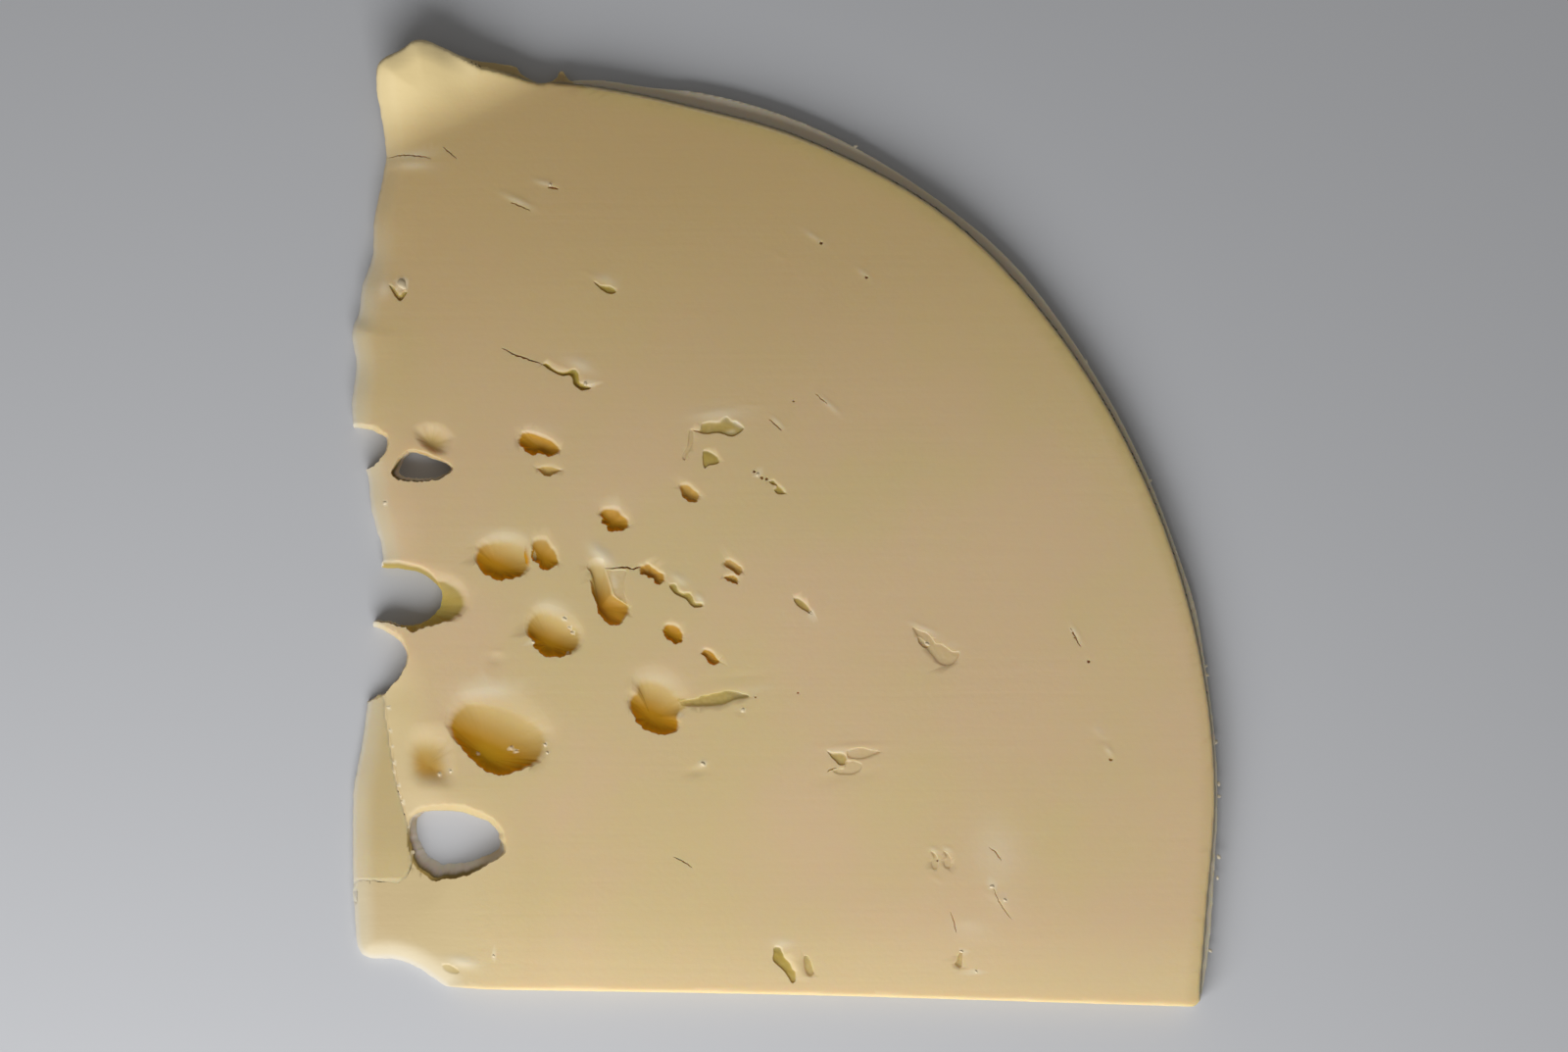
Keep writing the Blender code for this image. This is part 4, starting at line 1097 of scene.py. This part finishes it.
def cheese(name, grain_group, upper):
    made = bpy.data.materials.new(name)
    made.use_nodes = True
    tree = made.node_tree
    shader = tree.nodes["Principled BSDF"]
    n = Nodes(tree)
    place = n.add("ShaderNodeTexCoord").outputs["Object"]
    grain = n.add("ShaderNodeGroup", node_tree=grain_group)
    n.link(place, grain.inputs["Place"])
    # how much painted shade and glow each hollow takes
    hollow_shade_share = n.attribute("painted_hollow_shade")
    # walls that face away from the lamp are pushed to the ramp's bright amber end: painted glow for light
    # through the cheese in their shade
    facing = n.add("ShaderNodeVectorMath", operation="DOT_PRODUCT")
    n.link(n.add("ShaderNodeNewGeometry").outputs["Normal"], facing.inputs[0])
    facing.inputs[1].default_value = (-TO_FRONT[0], -TO_FRONT[1], 0.0)
    shaded = n.remap(facing.outputs["Value"], 0.25, 0.75, 0.0, 0.3)
    front = n.attribute("front")
    shaded = n.math("MULTIPLY", shaded, n.remap(front, 0.3, 0.6))
    floor = n.ramp(n.math("ADD", n.math("MULTIPLY", front, 0.7), shaded), EYE_FLOOR)
    rind, tear = n.attribute("from_rind"), n.attribute("from_tear")
    axes = n.add("ShaderNodeSeparateXYZ")
    n.link(place, axes.inputs[0])
    across, along = axes.outputs["X"], axes.outputs["Y"]
    if upper:
        colour = n.mix(n.remap(grain.outputs["Mottle"], 0.35, 0.65), FACE_COLOUR, FACE_COLOUR_PINK)
        # painted falloff of the lamp: darker towards the far end, lighter towards the knife cut
        colour = n.mix(n.remap(along, -0.01, 0.07), colour, FAR_PAINTED_SHADE)
        colour = n.mix(n.remap(along, -0.063, -0.079), colour, NEAR_PAINTED_LIGHT)
        near_rind = n.remap(rind, 3.5, 0.4, 0.0, 0.7)
        far_rind = n.math("MULTIPLY", near_rind, n.remap(along, -0.03, 0.02, 0.55, 1))
        colour = n.mix(far_rind, colour, RIND_TINT)
        colour = n.mix(n.remap(rind, 0.45, 0.15, 0.0, 0.6), colour, RIND_LINE)
        # painted light on the curled corner, where it tilts towards the lamp, with a little more yellow
        corner = n.math("SUBTRACT", along, n.math("MULTIPLY", across, 0.45))
        colour = n.mix(n.remap(corner, 0.086, 0.099, 0.0, 0.9), colour, CORNER_TINT_AND_PAINTED_LIGHT)
    else:
        colour = n.mix(n.remap(along, -0.046, -0.057), LEDGE_FACE, FACE_COLOUR)
        # the lower slice's rind strip, partly dry rind and partly painted fill light in the top slice's
        # shadow
        colour = n.mix(n.remap(rind, 4.5, 2.5), colour, DRY_RIND_AND_PAINTED_FILL)
    # painted shade over the lower left, where the lamp lights the slices more strongly
    to_left = n.remap(across, -0.035, -0.062, 0, 0.6)
    painted_left_shade = n.math("MULTIPLY", to_left, n.remap(along, -0.03, -0.05))
    colour = n.mix(painted_left_shade, colour, NEAR_LEFT_PAINTED_SHADE)
    # painted glow along the torn edge, where light passes through the thin cheese; less on the curl
    on_curl = n.remap(along, 0.035, 0.055, 1.0, 0.2)
    colour = n.mix(n.math("MULTIPLY", n.remap(tear, 4.5, 0.6, 0.0, 0.8), on_curl), colour, TORN_EDGE_PAINTED_GLOW)
    colour = n.mix(n.math("MULTIPLY", n.remap(tear, 1.1, 0.1, 0.0, 0.7), on_curl), colour, TORN_EDGE_PAINTED_SHOW_THROUGH)
    floor = n.mix(n.attribute("olive"), floor, n.ramp(front, SPLIT_FLOOR))
    # painted shadow on the foot of a through hole
    foot = n.attribute("foot")
    foot_shadow_colour = n.mix(n.remap(foot, 0.4, 1.0), FOOT_PAINTED_SHADOW, FOOT_GREY)
    floor = n.mix(n.remap(foot, 0.0, 0.05), floor, foot_shadow_colour)
    colour = n.mix(hollow_shade_share, colour, floor)
    colour = n.mix(n.attribute("pale"), colour, PALE_CURD_AND_GLOW)
    n.link(colour, shader.inputs["Base Color"])
    n.link(n.remap(hollow_shade_share, 0.05, 0.5, 0.48, 0.36), shader.inputs["Roughness"])
    n.link(n.math("MULTIPLY", n.attribute("body"), 0.55), shader.inputs["Subsurface Weight"])
    shader.inputs["Subsurface Radius"].default_value = (1.0, 0.6, 0.22)
    shader.inputs["Subsurface Scale"].default_value = 0.0025
    n.link(n.remap(hollow_shade_share, 0.0, 0.8, 0.4, 0.05), shader.inputs["Specular IOR Level"])
    bump = n.add("ShaderNodeBump")
    bump.inputs["Strength"].default_value = 0.25
    bump.inputs["Distance"].default_value = 0.0001
    height = n.math("ADD", grain.outputs["Drag"], n.math("MULTIPLY", grain.outputs["Grain"], 0.6))
    n.link(height, bump.inputs["Height"])
    n.link(bump.outputs["Normal"], shader.inputs["Normal"])
    return made


# ---------------------------------------------------------------- making the slices

lower_tear = softened(LOWER_TOP_EDGE + LEFT_EDGE_ABOVE + LOWER_LEFT_EDGE_BELOW + CORNER_EDGE, TORN_EDGE_STEPS)
top_tear = softened(TOP_TOP_EDGE + LEFT_EDGE_ABOVE + TOP_LEFT_EDGE_BELOW + CORNER_EDGE, TORN_EDGE_STEPS)


def outline_of(swells, set_back, tear, seed):
    rind = np.array(rind_points(swells, set_back))
    cut = softened(KNIFE_CUT, 60)
    rough = np.concatenate([
        np.full(len(rind), RIND_ROUGHNESS), np.full(len(tear), TEAR_ROUGHNESS), np.full(len(cut), 0.02),
    ])
    loop = np.vstack([rind, tear, cut])
    moved = roughened(loop, 1.0, seed) - loop
    return loop + moved * rough[:, None]


def build_stack():
    """Both slices as one body with one even skin."""
    lower = slab("stack", outline_of(LOWER_SWELLS, 0, lower_tear, 3), 0, LOWER_FACE)
    top_outline = outline_of(TOP_SWELLS, TOP_SET_BACK, top_tear, 5.5)
    upper = slab("upper", top_outline, LOWER_FACE - PARTING_OVERLAP, FACE)
    join([lower, upper], "stack")
    even_skin(lower, VOXEL)
    return lower


def parting_block():
    """A block that covers the upper slice, with an evenly divided underside."""
    across, up = PARTING_SPREAD
    grid = bpy.ops.mesh.primitive_grid_add
    made = fresh("parting", grid, x_subdivisions=across, y_subdivisions=up, size=2)
    xy = points_of(made)[:, :2] * PARTING_SPREAD
    return thicken(made, xy, np.full(len(xy), PARTING), PARTING_HEIGHT)


def copy_of(piece, name):
    made = piece.copy()
    made.data = piece.data.copy()
    made.name = name
    bpy.context.scene.collection.objects.link(made)
    return made


def finish_slice(piece, swells, set_back, triangles):
    """Shapes a slice, notes what its colours follow, and turns it into metres."""
    x, y, depth, tear_distance, body = shape_surface(piece)
    for name, values in zip(("painted_hollow_shade", "front", "foot", "olive"), hollows(x, y, depth)):
        set_attribute(piece, name, values)
    pale, crumbly = paleness(x, y, depth)
    set_attribute(piece, "pale", pale)
    set_attribute(piece, "body", body * (1 - crumbly))
    set_attribute(piece, "from_rind", from_rind(x, y, swells, set_back))
    set_attribute(piece, "from_tear", tear_distance)
    thin_out(piece, triangles)
    points = points_of(piece)
    points[:, 0] -= LAYOUT_MIDDLE[0]
    points[:, 1] -= LAYOUT_MIDDLE[1]
    put_points(piece, points * MM)
    pick(piece)
    bpy.ops.object.shade_smooth_by_angle(angle=math.radians(SMOOTH_BELOW))


# How far the colours of a hollow reach past its loop
WALL_REACH = 1.1
HOLE_REACH = 0.12
SMALL_REACH = 0.15
# How deep they are full: a share of an eye's or a bowl's depth, and alike in all the small ones
EYE_FULL = 0.3
BOWL_FULL = 0.9
SMALL_FULL = 0.15
# Small eyes lie wholly in their own shade: how much, and the lengths between which that fades
SMALL_EYE_SHADE = 0.6
SMALL_EYE = 2.5
LARGE_EYE = 8.0
# Hollows whose floors are olive rather than amber, and how much
OLIVE = {
    "notch_middle_slope": 0.85, "slit_high": 0.5, "bead_d": 0.3, "bead_e": 0.3, "bead_f": 0.2,
    "lens_bowl": 0.7, "soft_bowl": 0.2,
}
# Each hollow's loop, its depth of full painted shade, how much painted shade and glow it takes, its reach and
# how olive it is
LOOP_STEPS = 48
HOLLOWS = []
CRUMB_PLACES = []
eyes, small = [], []
for name, (mouth, depth, soft_rim, lean, hollow_shade_share) in EYES.items():
    eyes.append(eye(name, mouth, depth, soft_rim, lean))
    full, reach = (HOLE, HOLE_REACH) if depth >= HOLE else (EYE_FULL * depth, WALL_REACH)
    HOLLOWS.append((even_loop(mouth, LOOP_STEPS), full, hollow_shade_share, reach, OLIVE.get(name, 0)))
for name, (mouth, depth, hollow_shade_share) in BOWLS.items():
    eyes.append(bowl(name, mouth, depth))
    HOLLOWS.append((even_loop(mouth, LOOP_STEPS), depth * BOWL_FULL, hollow_shade_share, WALL_REACH, OLIVE[name]))
for name, (mouth, depth, crisp, hollow_shade_share) in SMALL_HOLLOWS.items():
    small.append(hollow(name, mouth, depth, crisp))
    HOLLOWS.append((even_loop(mouth, LOOP_STEPS), SMALL_FULL, hollow_shade_share, SMALL_REACH, 1))
for name, (run, width, depth) in SLITS.items():
    small.append(slit(name, run, width, depth))
for x, y, radius, depth in PIN_HOLES:
    small.append(pin_hole(x, y, radius, depth))

grain_group = curd_grain_group()
lower = build_stack()
carve(lower, eyes)
carve(lower, small)

bpy.context.view_layer.update()
added = []
for x, y, size in CRUMBS:
    level = height_at(lower, x, y)
    added.append(crumb((x, y, level + 0.1 * size), size))
    CRUMB_PLACES.append((x, y, level - 0.3 * size, size))
for angle, level, size in SIDE_CRUMBS:
    turn = math.radians(angle)
    x = WHEEL_CENTRE[0] + (WHEEL_RADII[0] + 0.1) * math.cos(turn)
    y = WHEEL_CENTRE[1] + (WHEEL_RADII[1] + 0.1) * math.sin(turn)
    added.append(crumb((x, y, level), size))
    CRUMB_PLACES.append((x, y, 0, size))
carve(lower, added, "UNION")

top = copy_of(lower, "top_slice_cheese")
lower.name = "lower_slice_cheese"
carve(top, [parting_block()], "INTERSECT")
carve(lower, [parting_block()])
finish_slice(top, TOP_SWELLS, TOP_SET_BACK, TOP_TRIANGLES)
finish_slice(lower, LOWER_SWELLS, 0, LOWER_TRIANGLES)

for piece, node, slot in ((top, "top_slice", "top_cheese"), (lower, "lower_slice", "lower_cheese")):
    piece.data.materials.clear()
    piece.data.materials.append(cheese(slot, grain_group, piece is top))
    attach(piece, "root")
    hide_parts(node)


# ---------------------------------------------------------------- table, light and camera

def table():
    made = fresh("table", bpy.ops.mesh.primitive_plane_add, size=3)
    paint = bpy.data.materials.new("table_white")
    paint.use_nodes = True
    shader = paint.node_tree.nodes["Principled BSDF"]
    shader.inputs["Base Color"].default_value = (0.50, 0.51, 0.535, 1)
    shader.inputs["Roughness"].default_value = 0.6
    made.data.materials.append(paint)


def window_light():
    lamp = bpy.data.lights.new("window", "AREA")
    lamp.shape = "RECTANGLE"
    lamp.size = 0.5
    lamp.size_y = 0.35
    lamp.energy = 2.75
    lamp.color = (1.0, 1.0, 1.0)
    holder = bpy.data.objects.new("window", lamp)
    bpy.context.scene.collection.objects.link(holder)
    holder.location = (-0.12, -0.37, 0.28)
    aim = Vector((0, 0, 0)) - holder.location
    holder.rotation_euler = aim.to_track_quat("-Z", "Y").to_euler()


def room_light():
    world = bpy.data.worlds.new("room")
    bpy.context.scene.world = world
    world.use_nodes = True
    back = world.node_tree.nodes["Background"]
    back.inputs["Color"].default_value = (1.0, 0.985, 0.96, 1)
    back.inputs["Strength"].default_value = 0.20


CAMERA_HEIGHT = 0.7
VIEW_WIDTH = 0.256


def camera():
    lens = bpy.data.cameras.new("camera")
    lens.sensor_width = 36
    lens.lens = 36 * (CAMERA_HEIGHT - FACE * MM) / VIEW_WIDTH
    lens.clip_start = 0.01
    holder = bpy.data.objects.new("camera", lens)
    bpy.context.scene.collection.objects.link(holder)
    holder.location = (-0.00012, -0.00034, CAMERA_HEIGHT)
    bpy.context.scene.camera = holder


table()
window_light()
room_light()
camera()
bpy.context.scene.view_settings.view_transform = "Standard"
